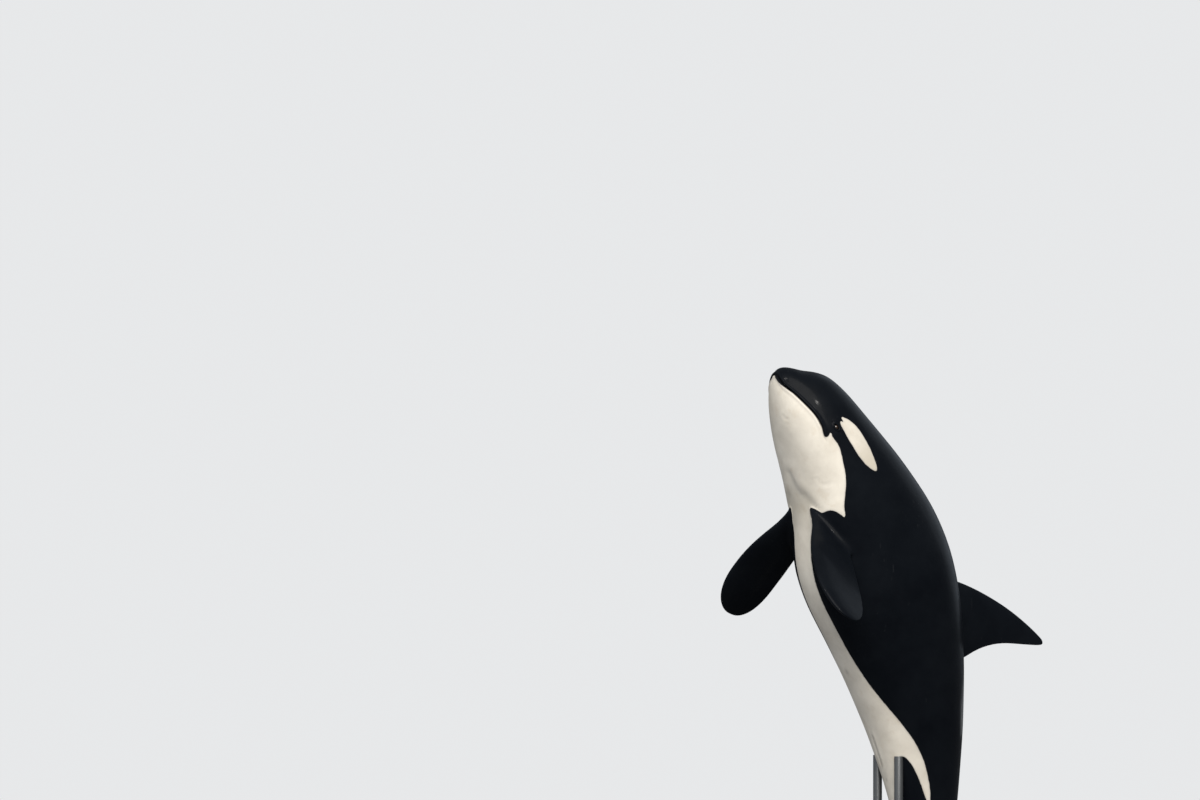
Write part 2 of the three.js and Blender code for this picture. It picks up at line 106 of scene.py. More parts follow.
# Outlines of the markings: per cent of the length, degrees from the middle of the back
BELLY_WHITE = (
    (0.35, 190), (0.35, 180), (0.6, 165), (1.4, 142.5), (3.05, 118.5), (4.2, 112.5), (5.6, 107.5), (6.9, 105),
    (8.1, 103.5), (9.0, 104.6), (9.55, 105.9), (10.15, 107.9), (10.6, 108.8), (10.95, 108.4), (11.1, 106),
    (11.05, 103.6), (10.85, 101), (10.78, 98.9), (11.05, 98.6), (11.4, 99.8), (12.0, 99.4), (12.6, 98.4),
    (13.43, 98.8), (14.9, 102.2), (16.05, 104.6), (17.5, 108), (18.7, 111.4), (19.9, 115.8), (21.15, 120.4),
    (22.0, 122.2), (22.9, 122.2), (23.2, 123.4), (22.85, 125.4), (22.1, 128.6), (21.35, 134.6), (21.2, 139.8),
    (21.4, 144.6), (21.05, 149), (21.2, 153.2), (21.9, 156.4), (22.6, 160), (23.6, 163.6), (25.2, 165.6),
    (27.4, 166.5), (31.5, 167), (36, 166.5), (42, 165), (46, 163), (50, 156), (54, 144), (58, 128), (62, 112),
    (66, 102), (69.5, 98), (71.3, 98.5), (71.6, 101), (70.2, 107), (67.2, 115), (64.5, 124), (63.2, 134),
    (63.6, 144), (66, 153), (70, 161), (74, 168), (76.5, 174), (77, 180), (77, 190),
)
EYE_PATCH = (
    (9.9, 75.6), (10.0, 77.2), (10.4, 77.6), (10.62, 77.9), (10.55, 79.4), (10.3, 80.4), (10.38, 82.2),
    (10.7, 83.3), (11.1, 83.9), (11.9, 84.3), (12.85, 84.9), (14.4, 85.3), (15.9, 85.6), (17.4, 84.4),
    (18.5, 82.3), (19.3, 79.6), (19.4, 77), (18.6, 74.2), (17.6, 72.0), (15.6, 68.4), (13.35, 66.2),
    (12.2, 66.7), (11.35, 68.4), (10.5, 72.2),
)
SADDLE = (
    (48.0, -6), (48.5, 10), (49.6, 17), (51, 23), (53, 33), (55, 40), (57.5, 44), (59.8, 44.5), (61.6, 41),
    (62.2, 36), (61, 28), (58.5, 20), (55.5, 12), (53, 6), (51.5, -6),
)
# The white under the end of the tail stock, by its tip, full width and the angle that it reaches
STOCK_WHITE = {"tip": 5.56, "full": 5.86, "base": 190, "angle": 97.0}
MARK_LIMIT, SNOUT_GUARD = 0.4, 0.02
# Where the white is darker: along the body, and round it. The eye patch's rear has a darker tint, and the
# throat behind the jaw gets painted shade
PATCH_SHADE = {"along": (0.80, 1.10), "side": (90, 96)}
THROAT_SHADE = {"at": 1.22, "width": 0.17, "off": (18, 46), "share": 0.7}

# The fins. A flare thickens the root, a rounding starts at a part of the span, and the fillet joins the body
FLIPPER = {
    "at": 1.53, "angle": 142.0, "length": 1.12, "breadth": 0.5, "root": 0.385, "thickness": 0.17,
    "flare": 0.3, "flare_reach": 0.16, "tailward": 0.42, "outward": 0.7, "bellyward": 0.58, "sweep": 0.15,
    "lie": 0.9, "rounding": (0.55, 2.4), "fillet": 0.09, "fillet_rows": 7, "rows": 26,
    "margins": (0.050, 0.065), "degree": 0.0095,
}
DORSAL = {
    "at": 2.44, "base": 0.79, "length": 0.86, "thickness": 0.12, "flare": 0.8, "flare_reach": 0.2,
    "taper": (0.95, 0.18), "rake": (0.62, 0.42), "rounding": (0.6, 2.4), "front_share": 0.35,
    "fillet": 0.06, "fillet_rows": 6, "rows": 24, "margins": (0.050, 0.055), "degree": 0.0105,
}
FLUKE = {
    "at": 5.7, "root": 0.575, "length": 0.88, "thickness": 0.13, "flare": 0.25, "flare_reach": 0.2,
    "notch": 0.075, "notch_reach": 0.14, "swell": 0.06, "hook": 0.075, "front": (0.72, 0.3),
    "rounding": (0.86, 3), "least": 0.016, "fillet": 0.165, "fillet_rows": 6, "rows": 26,
    "opening_at": 5.962, "opening": (0.238, 42.0), "degree": 0.0019,
}
FIN_TIP = 0.06
ROW_CROWDING = 1.8
# Half thickness of a fin's section by the root of x, x and its powers
SECTION = (1.4845, -0.63, -1.758, 1.4215, -0.5075)
# The white on the front of a flipper's root: its reach, the lower face's share, width, and how dark the
# painted shade over it is
FRONT_WHITE = {"reach": 0.03, "lower": 0.2, "width": 0.35, "tone": 0.7}
# The dark edges of a fluke's white underside: at its root, and what is added toward the tip
FLUKE_RIM = {"front": (0.020, 0.010), "rear": (0.010, 0.03), "tip": (0.6, 0.03)}

ROD_X, ROD_RADIUS = 0.2, 0.042
FOOT_RADIUS = 0.115
BOLTS, BOLT_CIRCLE, BOLT_RADIUS, BOLT_HEIGHT, BOLT_SHOWS = 6, 0.082, 0.012, 0.012, 0.0105
BASE_CORNER = 0.26
SHARP_EDGE = 35

# The photograph's view, worked out for a picture of 1200 x 800
PICTURE_WIDTH, PICTURE_HEIGHT = 1200, 800
PIXELS_PER_METRE = 107.0
SNOUT_PIXEL = (778.3, 369.3)
VIEW_AZIMUTH = 62.0
LENS, SENSOR = 300.0, 36.0
CAMERA_REACH = 500


# The bare body

def natural_curve(xs, ys):
    """A natural cubic curve through points, for numbers or arrays."""
    n = len(xs)
    h = np.diff(xs)
    system = np.eye(n)
    right = np.zeros(n)
    for i in range(1, n - 1):
        system[i, i - 1:i + 2] = h[i - 1], 2 * (h[i - 1] + h[i]), h[i]
        right[i] = 6 * ((ys[i + 1] - ys[i]) / h[i] - (ys[i] - ys[i - 1]) / h[i - 1])
    bend = np.linalg.solve(system, right)

    def at(x):
        x = np.asarray(x, float)
        i = np.clip(np.searchsorted(xs, x) - 1, 0, n - 2)
        a, b = xs[i + 1] - x, x - xs[i]
        cubic = (bend[i] * a ** 3 + bend[i + 1] * b ** 3) / (6 * h[i])
        left, right = ys[i] / h[i] - bend[i] * h[i] / 6, ys[i + 1] / h[i] - bend[i + 1] * h[i] / 6
        return cubic + left * a + right * b

    return at


GIRTH_S, *GIRTH_SIZES = np.array(GIRTH, float).T
BACK, BELLY, SIDE = (natural_curve(np.sqrt(GIRTH_S), sizes) for sizes in GIRTH_SIZES)
LEAN_S, LEAN_DEGREES = np.array(LEAN, float).T
LEAN_AT = natural_curve(LEAN_S, np.radians(LEAN_DEGREES))
MOUTH_HEIGHT = natural_curve(*np.array(MOUTH, float).T)

AXIS_STEP = 0.01
AXIS_S = np.linspace(0, LENGTH, round(LENGTH / AXIS_STEP) + 1)
AXIS_LEAN = LEAN_AT(AXIS_S)
STEP_LEAN = LEAN_AT(AXIS_S[:-1] + AXIS_STEP / 2)
AXIS_Y = SNOUT_Y + np.concatenate([[0], np.cumsum(np.sin(STEP_LEAN))]) * AXIS_STEP
AXIS_Z = SNOUT_Z - np.concatenate([[0], np.cumsum(np.cos(STEP_LEAN))]) * AXIS_STEP

# The end of the stock: how far it rounds over, where it thins and by how much, and where the notch takes hold
TAIL_ROUNDING = 0.0102
TAIL_THIN_FROM, TAIL_THIN, TAIL_NARROW = 6.06, 0.5, 0.15
NOTCH_FROM = 6.0


def smooth(low, high, x):
    t = np.clip((np.asarray(x, float) - low) / (high - low), 0, 1)
    return t * t * (3 - 2 * t)


def power(value, exponent):
    return np.sign(value) * np.abs(value) ** exponent


def unit(vector):
    return vector / np.linalg.norm(vector)


def bump_shape(x, width):
    return np.exp(-(x / width) ** 2)


def bumps(distance, table):
    """Beads and grooves beside a line: the sum of bumps given by height, place and width."""
    return sum(height * bump_shape(distance - at, width) for height, at, width in table)


def place(s, height, left):
    """Points by distance along the axis, height toward the back and offset to the left."""
    s, height, left = np.broadcast_arrays(np.asarray(s, float), height, left)
    inside = np.clip(s, 0, LENGTH)
    lean = LEAN_AT(inside)
    over = s - inside
    y = np.interp(inside, AXIS_S, AXIS_Y) + over * np.sin(lean) + height * np.cos(lean)
    z = np.interp(inside, AXIS_S, AXIS_Z) - over * np.cos(lean) + height * np.sin(lean)
    return np.stack([left, y, z], axis=-1)


def tailward(s):
    lean = float(LEAN_AT(s))
    return np.array([0, math.sin(lean), -math.cos(lean)])


def backward(s):
    lean = float(LEAN_AT(s))
    return np.array([0, math.cos(lean), math.sin(lean)])


def half_sizes(s, turn):
    """Half height on the side of a turn, and half width."""
    root = np.sqrt(np.clip(s, 0, LENGTH))
    tall = np.where(np.cos(turn) > 0, BACK(root), BELLY(root))
    end = np.clip((s - LENGTH) / TAIL_ROUNDING, 0, 1)
    tall = tall * (1 - TAIL_THIN * smooth(TAIL_THIN_FROM, LENGTH, s)) * np.sqrt(1 - end ** 2)
    return tall, SIDE(root) * (1 - TAIL_NARROW * end ** 2)


def fluke_rear(v):
    dent = FLUKE["notch"] * np.maximum(0, 1 - v / FLUKE["notch_reach"]) ** 2
    return FLUKE["root"] - dent + FLUKE["swell"] * np.sin(math.pi * v) * (1 - v) + FLUKE["hook"] * v ** 4


def surface(s, angle):
    """The bare body: angle 0 is the back, 90 the left side and 180 the belly, in degrees."""
    turn = np.radians(angle)
    s = np.asarray(s, float)
    tall, wide = half_sizes(s, turn)
    height = tall * power(np.cos(turn), 2 / ROUNDNESS)
    left = wide * power(np.sin(turn), 2 / ROUNDNESS)
    # The end of the stock follows the notch between the flukes
    v = np.abs(left) / FLUKE["length"]
    reach = (fluke_rear(v) - (FLUKE["root"] - FLUKE["notch"])) * smooth(NOTCH_FROM, LENGTH, s)
    return place(s + reach, height, left)


def outward(s, angle):
    """Unit directions out of the bare body."""
    s, angle = np.asarray(s, float), np.asarray(angle)
    step, turn = 0.002, 0.6
    along = surface(s + step, angle) - surface(np.maximum(s - step, 0), angle)
    around = surface(s, angle + turn) - surface(s, angle - turn)
    n = np.cross(around, along)
    n /= np.maximum(np.linalg.norm(n, axis=-1, keepdims=True), 1e-12)
    away = surface(s, angle) - place(s, 0, 0)
    return n * np.where(np.sum(n * away, axis=-1, keepdims=True) < 0, -1, 1)


def on_body(points):
    """Distance along the axis, angle and outwardness (1 on the skin) of points near the body."""
    points = np.asarray(points, float)
    flat = points.reshape(-1, 3)
    dy = flat[:, 1, None] - AXIS_Y
    dz = flat[:, 2, None] - AXIS_Z
    along = dy * np.sin(AXIS_LEAN) - dz * np.cos(AXIS_LEAN)
    k = np.argmin(np.abs(along), axis=1)
    rows = np.arange(len(flat))
    s = AXIS_S[k] + along[rows, k]
    height = dy[rows, k] * np.cos(AXIS_LEAN[k]) + dz[rows, k] * np.sin(AXIS_LEAN[k])
    tall, wide = half_sizes(np.clip(s, 0, LENGTH), np.where(height > 0, 0, math.pi))
    c = power(height / np.maximum(tall, 1e-6), ROUNDNESS / 2)
    w = power(flat[:, 0] / np.maximum(wide, 1e-6), ROUNDNESS / 2)
    shape = points.shape[:-1]
    return s.reshape(shape), np.degrees(np.arctan2(w, c)).reshape(shape), np.hypot(c, w).reshape(shape)


def local_frame(s, angle):
    """Origin, tailward, across and outward directions on the bare body."""
    out = outward(s, angle)
    along = unit(tailward(s) - out * tailward(s).dot(out))
    return surface(s, angle), along, np.cross(out, along), out


def segments_distance(points, path):
    """Distance from each point to a path of straight pieces, in any number of dimensions."""
    best = np.full(len(points), np.inf)
    for a, b in zip(path[:-1], path[1:]):
        d = b - a
        t = np.clip(((points - a) @ d) / max(d @ d, 1e-12), 0, 1)
        best = np.minimum(best, np.linalg.norm(points - a - t[:, None] * d, axis=1))
    return best


# Fins

class Fin:
    """A fin by its root, span and chord directions, and its outline along the span."""

    def __init__(self, name, origin, span, chord, outline, sizes):
        self.name = name
        self.origin, self.span, self.chord = origin, unit(span), unit(chord)
        self.face = unit(np.cross(self.span, self.chord))
        self.outline = outline
        self.sizes = sizes

    def at(self, v, turn):
        """A point of the fin: turn 0 is the rear edge and pi the front edge."""
        v, turn = np.broadcast_arrays(np.asarray(v, float), turn)
        inside = np.clip(v, 0, 1)
        front, width = self.outline(inside)
        x = chord_share(turn)
        thick = sum(share * x ** k for share, k in zip(SECTION, (0.5, 1, 2, 3, 4)))
        flare = 1 + self.sizes["flare"] * np.maximum(0, 1 - inside / self.sizes["flare_reach"]) ** 2
        height = np.sign(np.round(np.sin(turn), 9)) * thick * width * self.sizes["thickness"] * flare
        return (self.origin + (v * self.sizes["length"])[..., None] * self.span
                + (front + x * width)[..., None] * self.chord + height[..., None] * self.face)


def chord_share(turn):
    """Part of the chord behind the front edge."""
    return (1 + np.cos(turn)) / 2


def rounded(v, start, exponent):
    t = np.maximum(0, (v - start) / (1 - start))
    return FIN_TIP + (1 - FIN_TIP) * np.sqrt(np.maximum(0, 1 - t ** exponent))


def flipper_outline(v):
    swell = np.sin(math.pi * np.minimum(v, 0.5))
    width = FLIPPER["root"] + (FLIPPER["breadth"] - FLIPPER["root"]) * swell
    width = width * rounded(v, *FLIPPER["rounding"])
    return FLIPPER["sweep"] * v * v - width / 2, width


def dorsal_outline(v):
    base, taper, rake = DORSAL["base"], DORSAL["taper"], DORSAL["rake"]
    full = base * (1 - taper[0] * v + taper[1] * v * v)
    width = full * rounded(v, *DORSAL["rounding"])
    return base * (rake[0] * v + rake[1] * v * v - 0.5) + DORSAL["front_share"] * (full - width), width


def fluke_outline(v):
    front = FLUKE["root"] * (FLUKE["front"][0] * v + FLUKE["front"][1] * v ** 3)
    return front, np.maximum((fluke_rear(v) - front) * rounded(v, *FLUKE["rounding"]), FLUKE["least"])


def flipper_fin(sign):
    s = FLIPPER["at"]
    left = np.array([sign, 0, 0])
    span = left * FLIPPER["outward"] - backward(s) * FLIPPER["bellyward"] + tailward(s) * FLIPPER["tailward"]
    span = unit(span)
    lie = tailward(s) + FLIPPER["lie"] * backward(s)
    origin = surface(s, FLIPPER["angle"] * sign)
    return Fin("flipper", origin, span, lie - span * lie.dot(span), flipper_outline, FLIPPER)


def dorsal_fin():
    s = DORSAL["at"] + DORSAL["base"] / 2
    return Fin("dorsal", surface(s, 0), backward(s), tailward(s), dorsal_outline, DORSAL)


def fluke_fin(sign):
    origin = place(FLUKE["at"], 0, 0)
    return Fin("fluke", origin, np.array([sign, 0, 0]), tailward(LENGTH - 0.15), fluke_outline, FLUKE)


# The skin's grid

# Bands of columns round one side in degrees, and of rings along the body: from, to, step
COLUMNS = (
    (0, 10, 0.9), (10, 74, 2.9), (74, 80, 1.5), (80, 97, 0.95), (97, 101.4, 0.7), (101.4, 106.6, 0.43),
    (106.6, 112, 0.9), (112, 180, 2.9),
)
RINGS = (
    (0.1, 0.54, 0.010), (0.54, 0.85, 0.0048), (0.85, 1.0, 0.012), (1.0, 2.3, 0.022), (2.3, 5.5, 0.037),
    (5.5, LENGTH, 0.0125),
)
SNOUT_RINGS, SNOUT_CROWDING = 15, 1.7
TAIL_RINGS, TAIL_TURN = 7, 1.42
# The columns between these angles follow the mouth, and their neighbours from the back on are drawn along
MOUTH_BAND, PULL_FROM, PULL_END, MOUTH_LOWEST = (98, 110), 40, 0.63, 150


def graded(bands):
    places = []
    for start, stop, step in bands:
        count = max(1, round(abs(stop - start) / step))
        places += list(np.linspace(start, stop, count + 1)[:-1])
    return places


def column_angles():
    half = graded(COLUMNS)
    return np.array([-180] + [-a for a in half[:0:-1]] + half + [180])


def stations():
    snout = [RINGS[0][0] * (i / SNOUT_RINGS) ** SNOUT_CROWDING for i in range(SNOUT_RINGS)]
    end = [LENGTH + TAIL_ROUNDING * math.sin(t) for t in np.linspace(0, TAIL_TURN, TAIL_RINGS)]
    return np.array(snout + graded(RINGS) + end)


def mouth_angle(s):
    """The mouth line's angle on the left side, at distances from the snout."""
    inside = np.clip(s, MOUTH[0][0], MOUTH_CORNER)
    low = np.clip(-MOUTH_HEIGHT(inside) / BELLY(np.sqrt(inside)), 0, 1)
    return 180 - np.degrees(np.arccos(low ** (ROUNDNESS / 2)))


def warped(s, angle):
    """Moves the columns near the mouth on to its line."""
    line = np.minimum(mouth_angle(s), MOUTH_LOWEST)
    side = np.abs(angle)
    low, high = MOUTH_BAND
    weight = np.clip((side - PULL_FROM) / (low - PULL_FROM), 0, 1)
    weight = weight * np.clip((180 - side) / (180 - high), 0, 1)
    shift = (line - MOUTH_ANGLE) * weight * (1 - smooth(MOUTH_CORNER, PULL_END, s))
    return angle + np.sign(angle) * shift


# The relief of the skin. Bumps are given by height, place beside their line and width, all in metres.

# In the tables below, the dark values and their widths paint shade into the relief's grooves, slits and
# hollows
MOUTH_LIPS = ((-0.0145, 0, 0.0052), (0.0085, 0.019, 0.013), (0.0065, -0.019, 0.014))
MOUTH_NEAR, MOUTH_FADE, MOUTH_DARK = (0.9, 70), (0.545, 0.60), 0.0065
CORNER_FOLD = {
    "rise": (0.55, 0.585), "fade": (0.64, 0.735), "angle": 104, "turn": 5.5, "turned": 0.70,
    "bumps": ((-0.0075, 0, 0.0075), (0.004, 0.02, 0.014)), "dark": 0.8, "dark_width": 0.006,
}
EYE_HALF_LENGTH, EYE_HALF_HEIGHT, EYE_CORNER = 0.033, 0.0165, 1.15
EYE_NEAR = (0.3, 30)
LID_EDGE, EYE_SWELL = ((0.0045, 0.0085, 0.0085),), ((0.0045, 0, 0.09),)
UPPER_RINGS, LOWER_RINGS = ((-0.0024, 0.022, 0.006), (0.0022, 0.035, 0.010)), ((-0.0016, 0.022, 0.007),)
RING_DARK, LOWER_SHARE = ((0.35, 0.022, 0.005),), 0.6
# A wrinkle from each corner of the eye, to the snout and to the tail: direction, length
EYE_WRINKLES = ((-1, 0.035), (1, 0.050))
WRINKLE = {"depth": 0.0022, "width": 0.0050, "drop": 0.010, "end": 1.2, "dark": 0.35}
BLOWHOLE_NEAR = (0.2, 25)
BLOWHOLE_SLIT, BLOWHOLE_LIP, BLOWHOLE_DARK = ((-0.017, 0, 0.0048),), ((0.0030, 0.018, 0.018),), 0.006
BLOWHOLE_MOUND, MOUND_AHEAD = ((0.004, 0, 0.13),), 0.03
BLOWHOLE_END = {"from": 0.75, "to": 1.05, "share": 0.75}
# The rear edge of the jaw's pouch: degrees from the middle of the belly, distance from the snout
POUCH = ((0, 0.88), (2, 0.90), (5.8, 0.993), (11.4, 1.065), (20.6, 1.118), (33.0, 1.28))
POUCH_NEAR, POUCH_FADE = (1.1, 0.75, 60), (24, 40)
POUCH_STEP = {"depth": 0.018, "in": (-0.045, 0.065), "out": (0.12, 0.55), "bead": ((0.003, -0.07, 0.06),)}
# Small creases of the throat: distances, angles, depth
THROAT_CREASES = (
    ((0.995, 1.061, 1.092, 1.094), (141.8, 138.0, 130.8, 125.2), 0.0042),
    ((0.352, 0.385, 0.390), (160.5, 156.3, 152.5), 0.0022),
)
# Soft folds: distance, lowest and highest angle, depth, width, bow
SOFT_FOLDS = (
    (0.80, 120, 160, 0.0009, 0.040, 0.10), (1.24, 110, 150, 0.0012, 0.040, 0.12),
    (1.85, 112, 158, 0.0040, 0.042, -0.10),
)
CROWN_SIDE, BEAK_DIP, FOREHEAD = (35, 85), (-0.006, 0.135, 0.055), (0.010, 0.29, 0.11)
SHOULDER = {"behind": 0.02, "up": 6, "degree": 0.0095, "height": 0.007, "width": 0.24}
# Navel, belly slit and vent: distance, half length, metres to the degree, bumps, and the darkness of their
# painted shade and its width
BELLY_MARKS = (
    (3.02, 0.02, 0.0105, ((-0.010, 0, 0.012), (0.004, 0.03, 0.016)), 0.2, 0.010),
    (3.85, 0.16, 0.0085, ((-0.012, 0, 0.012), (0.006, 0.032, 0.022)), 0.45, 0.009),
    (4.16, 0.012, 0.0085, ((-0.008, 0, 0.011),), 0.3, 0.009),
)
FLESH_WAVE, WAVE_FROM, WAVE_TO = 0.0016, (0.05, 0.5), (5.0, 5.7)


class Relief:
    """How far the skin stands out of the bare body, and how much painted shade darkens its creases."""

    def __init__(self, s, angle):
        self.s, self.angle, self.side = s, angle, np.abs(angle)
        self.points = surface(s, angle)
        self.height = np.zeros(len(s))
        self.crease_shade = np.zeros(len(s))
        for part in (self.mouth, self.eyes, self.blowhole, self.pouch, self.throat_creases, self.soft_folds,
                     self.head_and_shoulders, self.belly_marks, self.flesh):
            part()

    def raise_by(self, near, height):
        self.height[near] += height

    def darken(self, near, depth):
        # Painted shade: darkens the colour in a crease or hollow
        self.crease_shade[near] = np.maximum(self.crease_shade[near], depth)

    def mouth(self):
        near = np.flatnonzero((self.s < MOUTH_NEAR[0]) & (self.side > MOUTH_NEAR[1]))
        points, s = self.points[near], self.s[near]
        front = MOUTH[0][0]
        t = np.linspace(-1, 1, 161)
        line_s = front + (MOUTH_CORNER - front) * t * t
        d = segments_distance(points, surface(line_s, mouth_angle(line_s) * np.sign(t + 1e-9)))
        above = (self.side[near] < mouth_angle(s)) | (s < front)
        fade = 1 - smooth(*MOUTH_FADE, s)
        self.raise_by(near, bumps(np.where(above, d, -d), MOUTH_LIPS) * fade)
        # Painted shade in the mouth line
        self.darken(near, bump_shape(d, MOUTH_DARK) * fade)
        # The corner of the mouth runs on as a soft fold
        fold = CORNER_FOLD
        line_s = np.linspace(fold["rise"][0], fold["fade"][1], 24)
        line_angle = fold["angle"] + fold["turn"] * smooth(fold["rise"][0], fold["turned"], line_s)
        weight = smooth(*fold["rise"], s) * (1 - smooth(*fold["fade"], s))
        for sign in (1, -1):
            d = segments_distance(points, surface(line_s, line_angle * sign))
            self.raise_by(near, weight * bumps(d, fold["bumps"]))
            # Painted shade along the fold at the mouth's corner
            self.darken(near, weight * fold["dark"] * bump_shape(d, fold["dark_width"]))

    def eyes(self):
        for sign in (1, -1):
            near = np.flatnonzero((np.abs(self.s - EYE_AT) < EYE_NEAR[0])
                                  & (np.abs(self.angle - EYE_ANGLE * sign) < EYE_NEAR[1]))
            a, b = eye_fields(self.points[near], sign)
            reach = np.hypot(a, b)
            beyond = lid_distance(a, b)
            over = smooth(0.1, 0.85, b / (reach + 1e-6))
            under = smooth(0.3, 0.95, -b / (reach + 1e-6))
            self.raise_by(near, bumps(beyond, LID_EDGE) + bumps(reach, EYE_SWELL)
                          + bumps(beyond, UPPER_RINGS) * over + bumps(beyond, LOWER_RINGS) * under)
            # Painted shade in the grooves round the lids
            self.darken(near, bumps(beyond, RING_DARK) * np.maximum(over, LOWER_SHARE * under))
            for end, length in EYE_WRINKLES:
                along = (a * end - EYE_HALF_LENGTH) / length
                drop = b + WRINKLE["drop"] * np.clip(along, 0, WRINKLE["end"]) ** 2
                line = bump_shape(drop, WRINKLE["width"]) * smooth(0.0, 0.35, along)
                line = line * (1 - smooth(0.5, WRINKLE["end"], along))
                self.raise_by(near, -WRINKLE["depth"] * line)
                # Painted shade in the wrinkle
                self.darken(near, WRINKLE["dark"] * line)

    def blowhole(self):
        length, turn = BLOWHOLE_NEAR
        near = np.flatnonzero((np.abs(self.s - BLOWHOLE_AT) < length) & (self.side < turn))
        points = self.points[near]
        t = np.linspace(-1, 1, 41)
        line_s = BLOWHOLE_AT - BLOWHOLE_BOW * t * t
        share = power(BLOWHOLE_HALF * t / SIDE(np.sqrt(line_s)), ROUNDNESS / 2)
        d = segments_distance(points, surface(line_s, np.degrees(np.arcsin(share))))
        ends = BLOWHOLE_END
        end = 1 - ends["share"] * smooth(ends["from"], ends["to"], np.abs(points[:, 0]) / BLOWHOLE_HALF)
        away = np.linalg.norm(points - surface(BLOWHOLE_AT - MOUND_AHEAD, 0), axis=1)
        rise = bumps(d, BLOWHOLE_SLIT) * end + bumps(d, BLOWHOLE_LIP) + bumps(away, BLOWHOLE_MOUND)
        self.raise_by(near, rise)
        # Painted shade in the blowhole's slit
        self.darken(near, bump_shape(d, BLOWHOLE_DARK) * end)

    def pouch(self):
        """The pouch of the jaw stands over the drawn-in throat, along a line bowed toward the snout."""
        edge_off, edge_s = np.array(POUCH, float).T
        off = 180 - self.side
        near = np.flatnonzero((np.abs(self.s - POUCH_NEAR[0]) < POUCH_NEAR[1]) & (off < POUCH_NEAR[2]))
        run = np.linspace(0, edge_off[-1], 34)
        run_s = np.interp(run, edge_off, edge_s)
        line = surface(np.concatenate([run_s[::-1], run_s]), np.concatenate([180 - run[::-1], -180 + run]))
        d = segments_distance(self.points[near], line)
        d = np.where(self.s[near] > np.interp(off[near], edge_off, edge_s), d, -d)
        step = -POUCH_STEP["depth"] * smooth(*POUCH_STEP["in"], d) * (1 - smooth(*POUCH_STEP["out"], d))
        self.raise_by(near, (step + bumps(d, POUCH_STEP["bead"])) * (1 - smooth(*POUCH_FADE, off[near])))

    def throat_creases(self):
        for line_s, line_angle, depth in THROAT_CREASES:
            near = np.flatnonzero(np.abs(self.s - line_s[1]) < 0.2)
            for sign in (1, -1):
                line = surface(np.array(line_s), np.array(line_angle) * sign)
                d = segments_distance(self.points[near], line)
                self.raise_by(near, depth * bumps(d, ((-1, 0, 0.012), (0.4, 0.026, 0.014))))

    def soft_folds(self):
        for at, low, high, depth, width, bow in SOFT_FOLDS:
            u = (self.side - (low + high) / 2) / (high - low) * 2
            d = self.s - (at + bow * u * u / 2)
            weight = 1 - smooth(0.5, 1.05, np.abs(u))
            self.height += depth * bumps(d, ((-1, 0, width), (0.6, 1.9 * width, 1.2 * width))) * weight

    def head_and_shoulders(self):
        """A shallow dip sets the beak off from the forehead, and the flippers' roots are muscled."""
        self.height += (1 - smooth(*CROWN_SIDE, self.side)) * bumps(self.s, (BEAK_DIP, FOREHEAD))
        up = (self.side - FLIPPER["angle"] + SHOULDER["up"]) * SHOULDER["degree"]
        away = np.hypot(self.s - FLIPPER["at"] - SHOULDER["behind"], up)
        self.height += SHOULDER["height"] * bump_shape(away, SHOULDER["width"])

    def belly_marks(self):
        for at, half, degree, table, dark, dark_width in BELLY_MARKS:
            d = np.hypot(np.maximum(np.abs(self.s - at) - half, 0), (180 - self.side) * degree)
            self.height += bumps(d, table)
            # Painted shade in the navel, the belly slit and the vent
            self.darken(slice(None), dark * bump_shape(d, dark_width))

    def flesh(self):
        """Slow unevenness, and none near the tail's end."""
        x, y, z = self.points.T
        wave = (np.sin(x * 5.1 + z * 3.3) * np.sin(y * 4.3 - z * 2.1)
                + 0.6 * np.sin(z * 9.7 + 4 * x) * np.sin(x * 8.3 + y * 7.7))
        self.height += FLESH_WAVE * wave * smooth(*WAVE_FROM, self.s) * (1 - smooth(*WAVE_TO, self.s))


def eye_fields(points, sign):
    """Places round an eye: along to the tail, and up toward the back."""
    origin, along, across, _ = local_frame(EYE_AT, EYE_ANGLE * sign)
    d = points - origin
    return d @ along, d @ across * sign


def lid_distance(a, b):
    """Distance outside the almond between the lids, negative inside it."""
    turns = np.linspace(0, 2 * math.pi, 73)
    height = EYE_HALF_HEIGHT * power(np.sin(turns), EYE_CORNER)
    path = np.stack([EYE_HALF_LENGTH * np.cos(turns), height], axis=1)
    gap = segments_distance(np.stack([a, b], axis=1), path)
    edge = EYE_HALF_HEIGHT * np.maximum(0, 1 - (a / EYE_HALF_LENGTH) ** 2) ** (EYE_CORNER / 2)
    return np.where((np.abs(b) < edge) & (np.abs(a) < EYE_HALF_LENGTH), -gap, gap)


def loop_order(start_edges):
    """The vertices of a closed loop of edges, in order."""
    links = {}
    for edge in start_edges:
        for a, b in (edge.verts, reversed(edge.verts)):
            links.setdefault(a, []).append(b)
    first = min(links, key=lambda vert: vert.index)
    order, before = [first], None
    while True:
        here = order[-1]
        ahead = [vert for vert in links[here] if vert is not before]
        before = here
        if ahead[0] is first and len(order) > 2:
            return order
        if len(ahead) > 1 and ahead[0] in order:
            ahead = ahead[1:]
        order.append(ahead[0])


SMOOTHING_TURNS, SPREAD_RINGS, SPREAD_ROUNDS = 12, 4, 10


